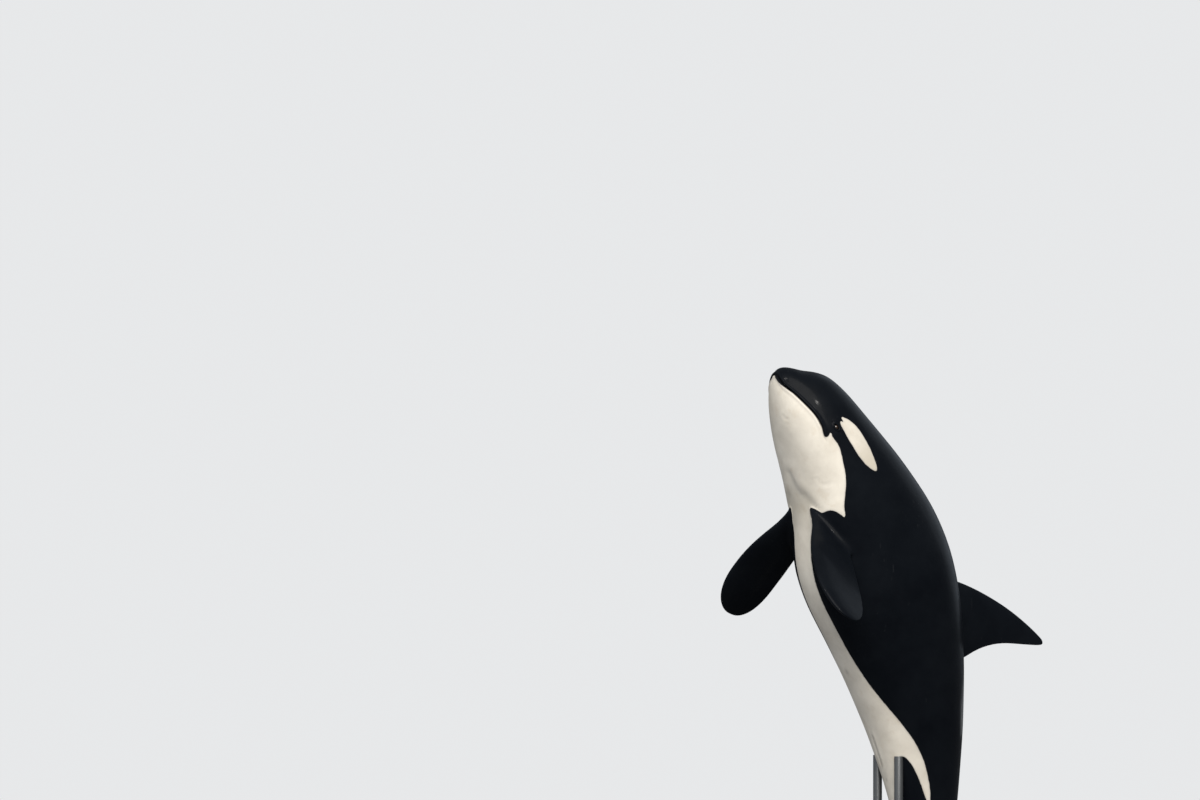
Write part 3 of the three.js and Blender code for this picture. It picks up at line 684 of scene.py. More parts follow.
class Skin:
    """The skin while it is modelled: a bmesh whose vertices know their place on the body."""

    def __init__(self):
        self.bm = bmesh.new()
        layers = self.bm.verts.layers.float
        self.s = layers.new("s")
        self.angle = layers.new("angle")
        self.white = layers.new("white")
        self.saddle = layers.new("saddle")
        # Painted shade in creases and hollows
        self.crease_shade = layers.new("crease_shade")
        # A darker tint on the eye patch's rear, and painted shade on the throat and the flippers' roots
        self.tone = layers.new("tone")
        self.rim = self.bm.verts.layers.int.new("rim")

    def grid(self):
        columns, rings = column_angles(), stations()
        last_column, last_ring = len(columns) - 1, len(rings) - 1
        made = bmesh.ops.create_grid(self.bm, x_segments=last_column, y_segments=last_ring, size=1)["verts"]
        for vert in made:
            vert[self.s] = rings[round((vert.co.y + 1) / 2 * last_ring)]
            vert[self.angle] = columns[round((vert.co.x + 1) / 2 * last_column)]
        verts = list(self.bm.verts)
        s, angle = self.body_arrays(verts)
        angle = warped(s, angle)
        for vert, value in zip(verts, angle):
            vert[self.angle] = value
        self.set_places(verts, surface(s, angle))
        bmesh.ops.remove_doubles(self.bm, verts=verts, dist=1e-6)
        bmesh.ops.holes_fill(self.bm, edges=[edge for edge in self.bm.edges if edge.is_boundary], sides=0)
        bmesh.ops.triangulate(self.bm, faces=[face for face in self.bm.faces if len(face.verts) > 4])

    def set_places(self, verts, places):
        for vert, point in zip(verts, places):
            vert.co = point

    def body_arrays(self, verts):
        s = np.array([vert[self.s] for vert in verts])
        angle = np.array([vert[self.angle] for vert in verts])
        return s, angle

    def middle(self, verts):
        """Mean distance and angle of some vertices."""
        count = len(verts)
        return sum(vert[self.s] for vert in verts) / count, sum(vert[self.angle] for vert in verts) / count

    def refine(self, inside):
        """Divides the faces whose places pass the test."""
        faces = [face for face in self.bm.faces
                 if all(inside(vert[self.s], vert[self.angle]) for vert in face.verts)]
        edges = list({edge for face in faces for edge in face.edges})
        bmesh.ops.subdivide_edges(self.bm, edges=edges, cuts=1, use_grid_fill=True)

    def open_hole(self, centre, axes, degree, shape=1.0):
        """Cuts an oval opening in the skin and returns its rim in order, with each vertex's turn.

        centre is (s, angle), axes two half axes of the same kind and degree the metres to a degree."""
        flatten = np.array([1, degree])
        c = np.array(centre) * flatten
        e1, e2 = np.array(axes) * flatten
        back = np.linalg.inv(np.stack([e1, e2], axis=1))

        def local(s, angle):
            return back @ (np.array([s, angle * degree]) - c)

        reach = 1.6 * max(np.linalg.norm(e1), np.linalg.norm(e2))
        doomed = []
        for face in self.bm.faces:
            first = face.verts[0]
            if abs(first[self.s] - c[0]) > reach or abs(first[self.angle] * degree - c[1]) > reach:
                continue
            if np.linalg.norm(local(*self.middle(face.verts))) < 1:
                doomed.append(face)
        touched = {vert for face in doomed for vert in face.verts}
        bmesh.ops.delete(self.bm, geom=doomed, context="FACES")
        touched = {vert for vert in touched if vert.is_valid}
        self.bm.verts.index_update()
        rim = loop_order({edge for vert in touched for edge in vert.link_edges if edge.is_boundary})
        places = [local(vert[self.s], vert[self.angle]) for vert in rim]
        turns = np.unwrap([math.atan2(y, x) for x, y in places])
        if turns[-1] < turns[0]:
            rim, turns = rim[::-1], turns[::-1]
        for _ in range(SMOOTHING_TURNS):
            before = np.concatenate([[turns[-1] - 2 * math.pi], turns[:-1]])
            after = np.concatenate([turns[1:], [turns[0] + 2 * math.pi]])
            turns = 0.5 * turns + 0.25 * (before + after)
        for vert, turn in zip(rim, turns):
            x, y = c + e1 * math.cos(turn) + e2 * power(math.sin(turn), shape)
            vert[self.s], vert[self.angle] = x, y / degree
        self.spread(rim)
        return rim, turns

    def spread(self, rim):
        """Spaces out the vertices in the rings round an opening."""
        shell, free = set(rim), []
        for _ in range(SPREAD_RINGS):
            ring = {edge.other_vert(vert) for vert in shell for edge in vert.link_edges} - set(rim)
            ordered = sorted(ring, key=lambda vert: (vert[self.s], vert[self.angle]))
            free += [vert for vert in ordered if vert not in free]
            shell |= ring
        for _ in range(SPREAD_ROUNDS):
            fresh = []
            for vert in free:
                s, angle = self.middle([edge.other_vert(vert) for edge in vert.link_edges])
                fresh.append((0.5 * (s + vert[self.s]), 0.5 * (angle + vert[self.angle])))
            for vert, (s, angle) in zip(free, fresh):
                vert[self.s], vert[self.angle] = s, angle

    def grow(self, rim, rows, values=None):
        """Extrudes a rim through rows of points. values gives a row's layer values."""
        edges = [edge for edge in {e for v in rim for e in v.link_edges} if edge.is_boundary]
        ordered = rim
        for k, row in enumerate(rows):
            for i, vert in enumerate(ordered):
                vert[self.rim] = i
            made = bmesh.ops.extrude_edge_only(self.bm, edges=edges)["geom"]
            fresh = [item for item in made if isinstance(item, bmesh.types.BMVert)]
            ordered = sorted(fresh, key=lambda vert: vert[self.rim])
            edges = [item for item in made if isinstance(item, bmesh.types.BMEdge) and item.is_boundary]
            for i, vert in enumerate(ordered):
                vert.co = row[i]
                if values is not None:
                    for layer, column in values(k).items():
                        vert[layer] = float(column[i])
        return ordered, edges


# Markings

def rounded_path(path, rounds):
    """A closed outline in metres and degrees, with its corners cut."""
    points = np.array(path, float) * (LENGTH / 100, 1)
    for _ in range(rounds):
        after = np.roll(points, -1, axis=0)
        points = np.stack([0.75 * points + 0.25 * after, 0.25 * points + 0.75 * after], axis=1).reshape(-1, 2)
    return points


def signed_outline(path, s, angle, degree, rounds=2):
    """Distance inside an outline on the unrolled body, negative outside, in metres."""
    outline = rounded_path(path, rounds)
    side = np.abs(angle)
    inside = np.zeros(len(s), bool)
    best = np.full(len(s), np.inf)
    for (s0, a0), (s1, a1) in zip(outline, np.roll(outline, -1, axis=0)):
        if a0 != a1:
            crosses = (a0 > side) != (a1 > side)
            inside ^= crosses & (s < (s1 - s0) * (side - a0) / (a1 - a0) + s0)
        ds, da = s1 - s0, (a1 - a0) * degree
        ps, pa = s - s0, (side - a0) * degree
        t = np.clip((ps * ds + pa * da) / np.maximum(ds * ds + da * da, 1e-12), 0, 1)
        best = np.minimum(best, np.hypot(ps - t * ds, pa - t * da))
    return np.where(inside, best, -best)


def body_markings(s, angle):
    """Signed distances of the white and the saddle on the body."""
    turn = np.radians(angle)
    tall, wide = half_sizes(np.clip(s, SNOUT_GUARD, LENGTH), turn)
    degree = np.hypot(tall * np.sin(turn), wide * np.cos(turn))
    degree = np.maximum(degree, 0.3 * np.minimum(tall, wide)) * math.pi / 180
    white = signed_outline(BELLY_WHITE, s, angle, degree)
    patch = signed_outline(EYE_PATCH, s, angle, degree, 1)
    stock = STOCK_WHITE
    reach = smooth(stock["tip"], stock["full"], s) ** 0.7
    end = (np.abs(angle) - stock["base"] + (stock["base"] - stock["angle"]) * reach) * degree
    white = np.maximum(np.maximum(white, patch), end)
    saddle = signed_outline(SADDLE, s, angle, degree)
    return np.clip(white, -MARK_LIMIT, MARK_LIMIT), np.clip(saddle, -MARK_LIMIT, MARK_LIMIT)


def tint_and_shade_of(s, angle):
    """Where the white is darker: a darker tint at the rear of the eye patch, and painted shade on the throat
    behind the jaw.
    """
    side = np.abs(angle)
    patch = (1 - smooth(*PATCH_SHADE["side"], side)) * smooth(*PATCH_SHADE["along"], s)
    throat = bump_shape(s - THROAT_SHADE["at"], THROAT_SHADE["width"])
    throat = throat * (1 - smooth(*THROAT_SHADE["off"], 180 - side))
    return np.maximum(patch, THROAT_SHADE["share"] * throat)


def fluke_white(fin, v, turn, lower):
    """Signed distance of the white under a fluke, which leaves the edges dark."""
    _, width = fin.outline(np.clip(v, 0, 1))
    x = chord_share(turn)
    front, rear, tip = (FLUKE_RIM[name] for name in ("front", "rear", "tip"))
    edge = np.minimum(x * width - front[0] - front[1] * v, (1 - x) * width - rear[0] - rear[1] * v)
    edge = np.minimum(edge, (1 - v) * fin.sizes["length"] * tip[0] - tip[1])
    return np.where(lower, edge, -0.02 - np.minimum(x, 1 - x) * width)


def root_white(white, turns, lower, out):
    """The white of the chest, which runs out on the front of a flipper's root, and the painted shade that
    darkens it there.
    """
    upper = smooth(-0.3, 0.5, np.where(lower, -1, 1) * np.abs(np.sin(turns)))
    share = FRONT_WHITE["lower"] + (1 - FRONT_WHITE["lower"]) * upper
    reach = FRONT_WHITE["reach"] * share * np.maximum(0, 1 - chord_share(turns) / FRONT_WHITE["width"])
    return np.minimum(white + 0.01, reach - out), FRONT_WHITE["tone"] * smooth(0, FRONT_WHITE["reach"], out)


# Fins and eyes grow out of openings in the skin

ROOT_TURNS = 96


def crossing(fin, turns):
    """Where each line of a fin leaves the body, as a part of its span."""
    v = np.linspace(-0.3, 0.45, 301)
    _, _, out = on_body(fin.at(*np.meshgrid(v, turns)))
    inside = out < 1
    last = inside.shape[1] - 1 - np.argmax(inside[:, ::-1], axis=1)
    last = np.clip(last, 0, len(v) - 2)
    rows = np.arange(len(turns))
    a, b = out[rows, last], out[rows, last + 1]
    t = np.clip((1 - a) / np.maximum(b - a, 1e-9), 0, 1)
    return v[last] + t * (v[last + 1] - v[last])


def fin_opening(skin, fin):
    """Opens the skin where a fin leaves it."""
    degree = fin.sizes["degree"]
    margin_end, margin_side = fin.sizes["margins"]
    turns = np.linspace(0, 2 * math.pi, ROOT_TURNS + 1)[:-1]
    s, angle, _ = on_body(fin.at(crossing(fin, turns), turns))
    flat = np.stack([s, angle * degree], axis=1)
    rear, front = flat[0], flat[ROOT_TURNS // 2]
    middle = (rear + front) / 2
    e1 = unit(rear - front)
    e2 = np.array([-e1[1], e1[0]])
    offset = (flat - middle) @ e2
    if offset[ROOT_TURNS // 4] < 0:
        e2, offset = -e2, -offset
    middle = middle + e2 * (offset.max() + offset.min()) / 2
    e1 = e1 * (np.linalg.norm(rear - front) / 2 + margin_end)
    e2 = e2 * ((offset.max() - offset.min()) / 2 + margin_side)
    unroll = np.array([1, 1 / degree])
    return skin.open_hole(middle * unroll, (e1 * unroll, e2 * unroll), degree)


def add_fin(skin, fin, rim, turns):
    """Grows a fin from an opening in the skin, with a soft fillet at its root."""
    sizes = fin.sizes
    s, angle = skin.body_arrays(rim)
    base = np.array([vert.co for vert in rim])
    white, saddle = body_markings(s, angle)
    lower = (np.sin(turns) > 0) == (fin.face.dot(backward(sizes["at"])) < 0)
    if fin.name == "fluke":
        v_root = np.full(len(rim), sizes["fillet"])
        start = fin.at(v_root, turns)
        # The control points of the fillet lie on the fluke's own lines, drawn on toward the body
        step = 0.01
        back = 0.6 * (v_root - np.abs(base[:, 0]) / sizes["length"]) / step
        corner = start + (fin.at(v_root - step, turns) - start) * back[:, None]
    else:
        v_cross = crossing(fin, turns)
        v_root = v_cross + sizes["fillet"] / sizes["length"]
        start, corner = fin.at(v_root, turns), fin.at(v_cross, turns)
    rows = []
    for k in range(1, sizes["fillet_rows"] + 1):
        t = k / sizes["fillet_rows"]
        rows.append((t, v_root, (1 - t) ** 2 * base + 2 * t * (1 - t) * corner + t * t * start))
    for k in range(1, sizes["rows"] + 1):
        v = v_root + (1 - v_root) * (1 - (1 - k / sizes["rows"]) ** ROW_CROWDING)
        rows.append((1.0, v, fin.at(v, turns)))

    def values(k):
        t, v, places = rows[k]
        mark, tone = (1 - t) * white + t * -0.2, np.zeros(len(s))
        if fin.name == "fluke":
            mark = (1 - t) * white + t * fluke_white(fin, v, turns, lower)
        elif fin.name == "flipper":
            # The front of a flipper's root gets painted shade over its white
            mark, tone = root_white(white, turns, lower, np.linalg.norm(places - base, axis=1))
        return {skin.s: s, skin.angle: angle, skin.white: mark, skin.saddle: saddle * (1 - t) - 0.1 * t,
                skin.tone: tone, skin.crease_shade: np.zeros(len(s))}

    ordered, _ = skin.grow(rim, [places for _, _, places in rows], values)
    # The two faces meet across the narrow tip
    places = np.array([vert.co for vert in ordered])
    middle = places.mean(axis=0)
    for share in (0.6, 0.25):
        ordered, _ = skin.grow(ordered, [middle + (places - middle) * share])
    bmesh.ops.pointmerge(skin.bm, verts=ordered, merge_co=Vector(middle))


# The lids roll in by shares of the opening's length and height, and of its depth, with a rise
LID_ROLL = ((0.985, 0.96, 1, 0.0005), (0.955, 0.90, 0.8, 0))
LID_INNER = (0.87, 0.85)
BALL_GAP, POCKET_GAP = 0.0006, 0.0012
POCKET_ROWS, POCKET_END, LID_LIMIT = 7, 0.93, 0.93


def add_eye_opening(skin, sign, rim, turns):
    """Turns an eye's opening inward to a lid margin and a pocket round the eyeball."""
    origin, along, across, out = local_frame(EYE_AT, EYE_ANGLE * sign)
    middle = origin + out * (EYE_PROUD - EYE_RADIUS)
    d = np.array([vert.co for vert in rim]) - origin
    a, b, c = d @ along, d @ across, d @ out

    def points(centre, a, b, c):
        return centre + a[:, None] * along + b[:, None] * across + c[:, None] * out

    rows = [points(origin, a * length, b * height, c * depth + rise)
            for length, height, depth, rise in LID_ROLL]
    ball, pocket = EYE_RADIUS + BALL_GAP, EYE_RADIUS + POCKET_GAP
    a, b = a * LID_INNER[0], b * LID_INNER[1]
    reach = np.hypot(a, b)
    flat = np.minimum(reach, ball * LID_LIMIT)
    rows.append(points(middle, a, b, np.sqrt(ball ** 2 - flat ** 2) + POCKET_GAP))
    polar = np.arcsin(flat / ball)
    a, b = a / reach, b / reach
    for k in range(1, POCKET_ROWS + 1):
        turn = polar + (math.pi * POCKET_END - polar) * k / POCKET_ROWS
        flat = pocket * np.sin(turn)
        rows.append(points(middle, a * flat, b * flat, pocket * np.cos(turn)))

    def values(k):
        ones = np.ones(len(rim))
        # The pocket round the eyeball gets deeper painted shade row by row
        return {skin.white: -0.1 * ones, skin.saddle: -0.1 * ones, skin.crease_shade: ones * min(1.0, 0.25 * k),
                skin.tone: 0 * ones}

    ordered, _ = skin.grow(rim, rows, values)
    bmesh.ops.pointmerge(skin.bm, verts=ordered, merge_co=Vector(middle - out * pocket))


# Finer grid round an eye and the blowhole: half length and half angle
EYE_REFINES = ((0.085, 9.5), (0.046, 4.4))
BLOWHOLE_REFINE = (0.075, 15)


def model_skin():
    """The whole skin as a bmesh."""
    skin = Skin()
    skin.grid()
    for sign in (1, -1):
        for reach, turn in EYE_REFINES:
            skin.refine(lambda s, a: abs(s - EYE_AT) < reach and abs(a - EYE_ANGLE * sign) < turn)
    reach, turn = BLOWHOLE_REFINE
    skin.refine(lambda s, a: abs(s - BLOWHOLE_AT + 0.01) < reach and abs(a) < turn)

    fins, eyes = [], []
    for fin in (flipper_fin(1), flipper_fin(-1), dorsal_fin()):
        fins.append((fin, fin_opening(skin, fin)))
    for sign in (1, -1):
        length, turn = FLUKE["opening"]
        hole = skin.open_hole((FLUKE["opening_at"], 90.0 * sign), ((length, 0), (0, -turn)), FLUKE["degree"])
        fins.append((fluke_fin(sign), hole))
    degree = np.linalg.norm(surface(EYE_AT, EYE_ANGLE + 0.5) - surface(EYE_AT, EYE_ANGLE - 0.5))
    stretch = np.linalg.norm(surface(EYE_AT + 0.01, EYE_ANGLE) - surface(EYE_AT - 0.01, EYE_ANGLE)) / 0.02
    for sign in (1, -1):
        axes = ((EYE_HALF_LENGTH / stretch, 0), (0, EYE_HALF_HEIGHT / degree))
        eyes.append((sign, skin.open_hole((EYE_AT, EYE_ANGLE * sign), axes, degree, EYE_CORNER)))

    verts = list(skin.bm.verts)
    s, angle = skin.body_arrays(verts)
    relief = Relief(s, angle)
    skin.set_places(verts, surface(s, angle) + outward(s, angle) * relief.height[:, None])
    columns = (*body_markings(s, angle), relief.crease_shade, tint_and_shade_of(s, angle))
    for layer, column in zip((skin.white, skin.saddle, skin.crease_shade, skin.tone), columns):
        for vert, value in zip(verts, column):
            vert[layer] = value

    for fin, opening in fins:
        add_fin(skin, fin, *opening)
    for sign, opening in eyes:
        add_eye_opening(skin, sign, *opening)
    bmesh.ops.recalc_face_normals(skin.bm, faces=list(skin.bm.faces))
    bmesh.ops.triangulate(skin.bm, faces=[face for face in skin.bm.faces if len(face.verts) > 4])
    return skin.bm


# Materials

class Wiring:
    """A node tree while it is wired. A socket is fed a number, a colour or another socket."""

    def __init__(self, tree):
        self.nodes, self.links = tree.nodes, tree.links

    def feed(self, socket, value):
        if isinstance(value, bpy.types.NodeSocket):
            self.links.new(value, socket)
        elif socket.type == "RGBA":
            socket.default_value = (*value[:3], 1)
        else:
            socket.default_value = value

    def add(self, kind, values):
        node = self.nodes.new(kind)
        for name, value in values.items():
            self.feed(node.inputs[name], value)
        return node

    def math(self, operation, a, b, clamp=False):
        node = self.add("ShaderNodeMath", {0: a, 1: b})
        node.operation = operation
        node.use_clamp = clamp
        return node.outputs[0]

    def times(self, a, b):
        return self.math("MULTIPLY", a, b)

    def span(self, value, low, high, to_low=0.0, to_high=1.0, kind="SMOOTHSTEP"):
        node = self.add("ShaderNodeMapRange", {
            "Value": value, "From Min": low, "From Max": high, "To Min": to_low, "To Max": to_high})
        node.interpolation_type = kind
        return node.outputs["Result"]

    def even(self, value, to_low, to_high, low=0.3, high=0.7):
        return self.span(value, low, high, to_low, to_high, "LINEAR")

    def mix(self, factor, a, b):
        node = self.nodes.new("ShaderNodeMix")
        node.data_type = "RGBA"
        for socket, value in zip((node.inputs[0], node.inputs[6], node.inputs[7]), (factor, a, b)):
            self.feed(socket, value)
        return node.outputs[2]

    def noise(self, vector, scale, detail=3.0, roughness=0.55, distortion=0.0):
        return self.add("ShaderNodeTexNoise", {
            "Vector": vector, "Scale": scale, "Detail": detail, "Roughness": roughness,
            "Distortion": distortion}).outputs["Fac"]

    def ramp(self, factor, *stops):
        node = self.add("ShaderNodeValToRGB", {"Fac": factor})
        elements = node.color_ramp.elements
        while len(elements) < len(stops):
            elements.new(0.5)
        for element, (at, colour) in zip(elements, stops):
            element.position = at
            element.color = (*colour[:3], 1)
        return node.outputs[0]

    def attribute(self, name):
        node = self.nodes.new("ShaderNodeAttribute")
        node.attribute_name = name
        return node.outputs["Fac"]

    def mapped(self, vector, scale, rotation=(0, 0, 0)):
        values = {"Vector": vector, "Scale": scale, "Rotation": rotation}
        return self.add("ShaderNodeMapping", values).outputs[0]

    def bump(self, height, strength, distance, normal=None):
        values = {"Strength": strength, "Distance": distance, "Height": height}
        if normal is not None:
            values["Normal"] = normal
        return self.add("ShaderNodeBump", values).outputs["Normal"]

    def camera_choice(self, seen, unseen, output):
        """One shader to the camera, another one to everything else."""
        path = self.nodes.new("ShaderNodeLightPath")
        choice = self.add("ShaderNodeMixShader", {0: path.outputs["Is Camera Ray"], 1: unseen, 2: seen})
        self.feed(output.inputs["Surface"], choice.outputs[0])


class Finish(Wiring):
    """A material with its Principled shader, object coordinates and the shared grain."""

    def __init__(self, name, fine=0.0, mottle=0.0):
        self.material = bpy.data.materials.new(name)
        self.material.use_nodes = True
        super().__init__(self.material.node_tree)
        self.shader = self.nodes["Principled BSDF"]
        self.position = self.nodes.new("ShaderNodeTexCoord").outputs["Object"]
        if fine:
            grain = self.nodes.new("ShaderNodeGroup")
            grain.node_tree = shared_grain()
            for name, value in (("Position", self.position), ("Fine Scale", fine), ("Mottle Scale", mottle)):
                self.feed(grain.inputs[name], value)
            self.fine, self.mottle = grain.outputs["Height"], grain.outputs["Mottle"]

    def set(self, name, value):
        self.feed(self.shader.inputs[name], value)


def shared_grain():
    """A fine uneven surface: a height and a slow mottle, from one position."""
    group = bpy.data.node_groups.get("Surface grain")
    if group is not None:
        return group
    group = bpy.data.node_groups.new("Surface grain", "ShaderNodeTree")
    group.interface.new_socket("Position", in_out="INPUT", socket_type="NodeSocketVector")
    for name, default in (("Fine Scale", 60.0), ("Mottle Scale", 3.0)):
        socket = group.interface.new_socket(name, in_out="INPUT", socket_type="NodeSocketFloat")
        socket.default_value = default
    for name in ("Height", "Mottle"):
        group.interface.new_socket(name, in_out="OUTPUT", socket_type="NodeSocketFloat")
    wiring = Wiring(group)
    enter, leave = group.nodes.new("NodeGroupInput"), group.nodes.new("NodeGroupOutput")
    position, fine, mottle = enter.outputs[:3]
    wiring.feed(leave.inputs["Height"], wiring.noise(position, fine, 4, 0.5))
    wiring.feed(leave.inputs["Mottle"], wiring.noise(position, mottle, 5, 0.6))
    return group


# Half width over which a border turns from black to white, and the grey tint inside it
BORDER, TINT_REACH, TINT = 0.003, 0.022, 0.35
FINE_WANDER = 0.0015
SADDLE_EDGE, SADDLE_STREAKS, SADDLE_WEIGHT = (-0.045, 0.085), 0.12, 0.85
SCRATCH_SCALE, SCRATCH_TURN = (24.0, 24.0, 1.0), (math.radians(24), math.radians(6), 0)
COAT, COAT_ROUGHNESS, SKIN_SPECULAR = 0.04, 0.10, 0.03


def skin_material(settings):
    skin = Finish("Orca skin", 95.0, 2.3)
    position = skin.position

    # The borders wander a few millimetres
    wobble = skin.math("SUBTRACT", skin.noise(position, 17, 4), 0.5)
    fine_wobble = skin.math("SUBTRACT", skin.noise(position, 120, 2), 0.5)
    shift = skin.times(wobble, settings.border_wander * 1.7)
    shift = skin.math("ADD", shift, skin.times(fine_wobble, FINE_WANDER))
    distance = skin.math("ADD", skin.attribute("white"), shift)
    white = skin.span(distance, -BORDER, BORDER)

    # Black: deep blue-black in slow clouds, with old scratches that lie mostly along the body
    black = skin.ramp(skin.mottle, (0.30, settings.black_low), (0.72, settings.black_high))
    scratch = skin.noise(skin.mapped(position, SCRATCH_SCALE, SCRATCH_TURN), 5.0, 1, 0.4, 0.1)
    patchy = skin.span(skin.noise(position, 2.6, 3), 0.48, 0.66)
    line = skin.times(skin.span(scratch, 0.735, 0.765), patchy)
    scratched = skin.mix(skin.times(line, 0.16), black, settings.scratch_colour)

    # Saddle: soft smoke grey with streaks
    streak = skin.noise(skin.mapped(position, (2.4, 2.4, 1.0)), 4.5, 6, 0.62)
    streak = skin.times(skin.math("SUBTRACT", streak, 0.5), SADDLE_STREAKS)
    saddle = skin.span(skin.math("ADD", skin.attribute("saddle"), streak), *SADDLE_EDGE)
    dark = skin.mix(skin.times(saddle, SADDLE_WEIGHT), scratched, settings.saddle_colour)

    # White: warm cream, greyer in the clouds, stained in places, with a darker tint at the eye patch's rear
    # and painted shade on the throat and the flippers' roots
    cream = skin.ramp(skin.mottle, (0.28, settings.white_low), (0.66, settings.white_high))
    stain = skin.span(skin.noise(position, 6.5, 5, 0.65), 0.52, 0.75)
    pale = skin.mix(skin.times(stain, 0.30), cream, settings.stain_colour)
    # Painted shade on the throat and the flippers' roots, and the eye patch's darker tint
    pale = skin.mix(skin.times(skin.attribute("tone"), 0.55), pale, settings.shade_colour)
    # A grey breath of pigment follows the border inside the white
    pale = skin.mix(skin.span(distance, 0.0, TINT_REACH, TINT, 0.0), pale, settings.edge_colour)

    colour = skin.mix(white, dark, pale)
    # Painted shade in the mouth line, folds, wrinkles, slits and the eyes' pockets
    colour = skin.mix(skin.times(skin.attribute("crease_shade"), 0.8), colour, settings.crease_shade_colour)
    skin.set("Base Color", colour)

    gloss = skin.even(skin.noise(position, 11, 4, 0.6), settings.skin_roughness - 0.03,
                      settings.skin_roughness + 0.04)
    rough = skin.math("ADD", gloss, skin.times(white, 0.10))
    skin.set("Roughness", skin.math("ADD", rough, skin.times(line, 0.15), True))
    skin.set("Coat Weight", COAT)
    skin.set("Coat Roughness", COAT_ROUGHNESS)
    skin.set("Specular IOR Level", SKIN_SPECULAR)

    # Pores and fine wrinkles, with slow waves of the flesh under them
    normal = skin.bump(skin.noise(position, 6.0, 2, 0.4), 0.35, 0.012)
    normal = skin.bump(skin.fine, 0.22, 0.0012, normal)
    skin.set("Normal", skin.bump(line, 0.25, 0.0008, normal))
    return skin.material


PUPIL_COLOUR, EYE_RIM_COLOUR = (0.002, 0.002, 0.003), (0.012, 0.009, 0.008)
# Edges of the pupil and of the iris, as angles from the eye's axis
PUPIL_EDGE, IRIS_EDGE = (0.20, 0.24), (0.48, 0.58)
FIBRE_FOLDS = 3


def eye_material(settings):
    eye = Finish("Eye")
    aim = eye.attribute("aim")
    where = eye.add("ShaderNodeCombineXYZ", {
        "X": eye.times(eye.attribute("around"), 3.0), "Y": eye.times(aim, 0.8)})
    fibres = eye.add("ShaderNodeTexNoise", {"Vector": where.outputs[0], "Scale": 9, "Detail": 5})
    fibres.noise_dimensions = "2D"
    iris = eye.ramp(fibres.outputs["Fac"], (0.3, settings.iris_dark), (0.7, settings.iris_light))
    colour = eye.mix(eye.span(aim, *PUPIL_EDGE), PUPIL_COLOUR, iris)
    eye.set("Base Color", eye.mix(eye.span(aim, *IRIS_EDGE), colour, EYE_RIM_COLOUR))
    eye.set("Roughness", eye.even(eye.noise(eye.position, 160, 2), 0.03, 0.08))
    eye.set("Coat Weight", 1.0)
    eye.set("Coat Roughness", 0.02)
    return eye.material


def paint_material(name, colour, shade, roughness, metallic, fine):
    """Satin paint with a fine texture, slow wear in its sheen and rubbed places."""
    paint = Finish(name, fine, 2.8)
    base = paint.ramp(paint.mottle, (0.3, tuple(c * shade for c in colour[:3])), (0.7, colour))
    rub = paint.span(paint.noise(paint.position, 31, 4, 0.7), 0.66, 0.74)
    rubbed = tuple(min(1.0, c * 2.2 + 0.02) for c in colour[:3])
    paint.set("Base Color", paint.mix(paint.times(rub, 0.25), base, rubbed))
    paint.set("Roughness", paint.even(paint.mottle, roughness - 0.06, roughness + 0.08))
    paint.set("Metallic", metallic)
    paint.set("Normal", paint.bump(paint.fine, 0.3, 0.0006))
    return paint.material


FLOOR_IN_GLOSS = (0.14, 0.14, 0.145)


def floor_material(colour):
    floor = Finish("Studio floor", 9.0, 0.25)
    shade = tuple(c * 0.97 for c in colour[:3])
    floor.set("Base Color", floor.ramp(floor.mottle, (0.3, shade), (0.7, colour)))
    floor.set("Roughness", floor.even(floor.fine, 0.55, 0.68))
    floor.set("Specular IOR Level", 0.05)
    # Less of the floor comes back in the gloss of the skin
    dim = floor.add("ShaderNodeBsdfDiffuse", {"Color": FLOOR_IN_GLOSS})
    floor.camera_choice(floor.shader.outputs[0], dim.outputs[0], floor.nodes["Material Output"])
    return floor.material


# Settings

def colour_setting(name, description, *rgb):
    return bpy.props.FloatVectorProperty(
        name=name, description=description, subtype="COLOR", size=4, min=0, max=1, default=(*rgb, 1))


def length_setting(name, description, default, low, high):
    return bpy.props.FloatProperty(
        name=name, description=description, default=default, min=low, max=high, unit="LENGTH")


def number_setting(name, description, default, low=0, high=100):
    return bpy.props.FloatProperty(name=name, description=description, default=default, min=low, max=high)


class OrcaSkinSettings(bpy.types.PropertyGroup):
    black_low: colour_setting("Black, deep", "Darkest colour of the black skin", 0.0030, 0.0040, 0.0060)
    black_high: colour_setting("Black, light", "Lightest colour of the black skin", 0.0058, 0.0074, 0.0100)
    white_low: colour_setting("White, low", "Greyer cream of the white skin", 0.62, 0.575, 0.50)
    white_high: colour_setting("White, high", "Lightest cream of the white skin", 0.82, 0.775, 0.69)
    stain_colour: colour_setting("Stain", "Warm stain on the white", 0.55, 0.46, 0.34)
    # Colour of the eye patch's darker tint and of the painted shade on the throat and the flippers' roots
    shade_colour: colour_setting(
        "Shade", "Darker yellowish cream of the eye patch's rear", 0.40, 0.355, 0.27)
    edge_colour: colour_setting("Border tint", "Grey along the border inside the white", 0.36, 0.35, 0.34)
    saddle_colour: colour_setting("Saddle", "Grey patch behind the dorsal fin", 0.17, 0.18, 0.19)
    scratch_colour: colour_setting("Scratches", "Old scratches on the black", 0.10, 0.105, 0.11)
    # Colour of the painted shade in creases and hollows
    crease_shade_colour: colour_setting("Creases", "Colour in the mouth line and folds", 0.006, 0.006, 0.007)
    skin_roughness: number_setting("Skin roughness", "Roughness of the black skin", 0.36, 0.05, 1)
    border_wander: length_setting(
        "Border wander", "How far the borders of the markings wander", 0.006, 0, 0.05)


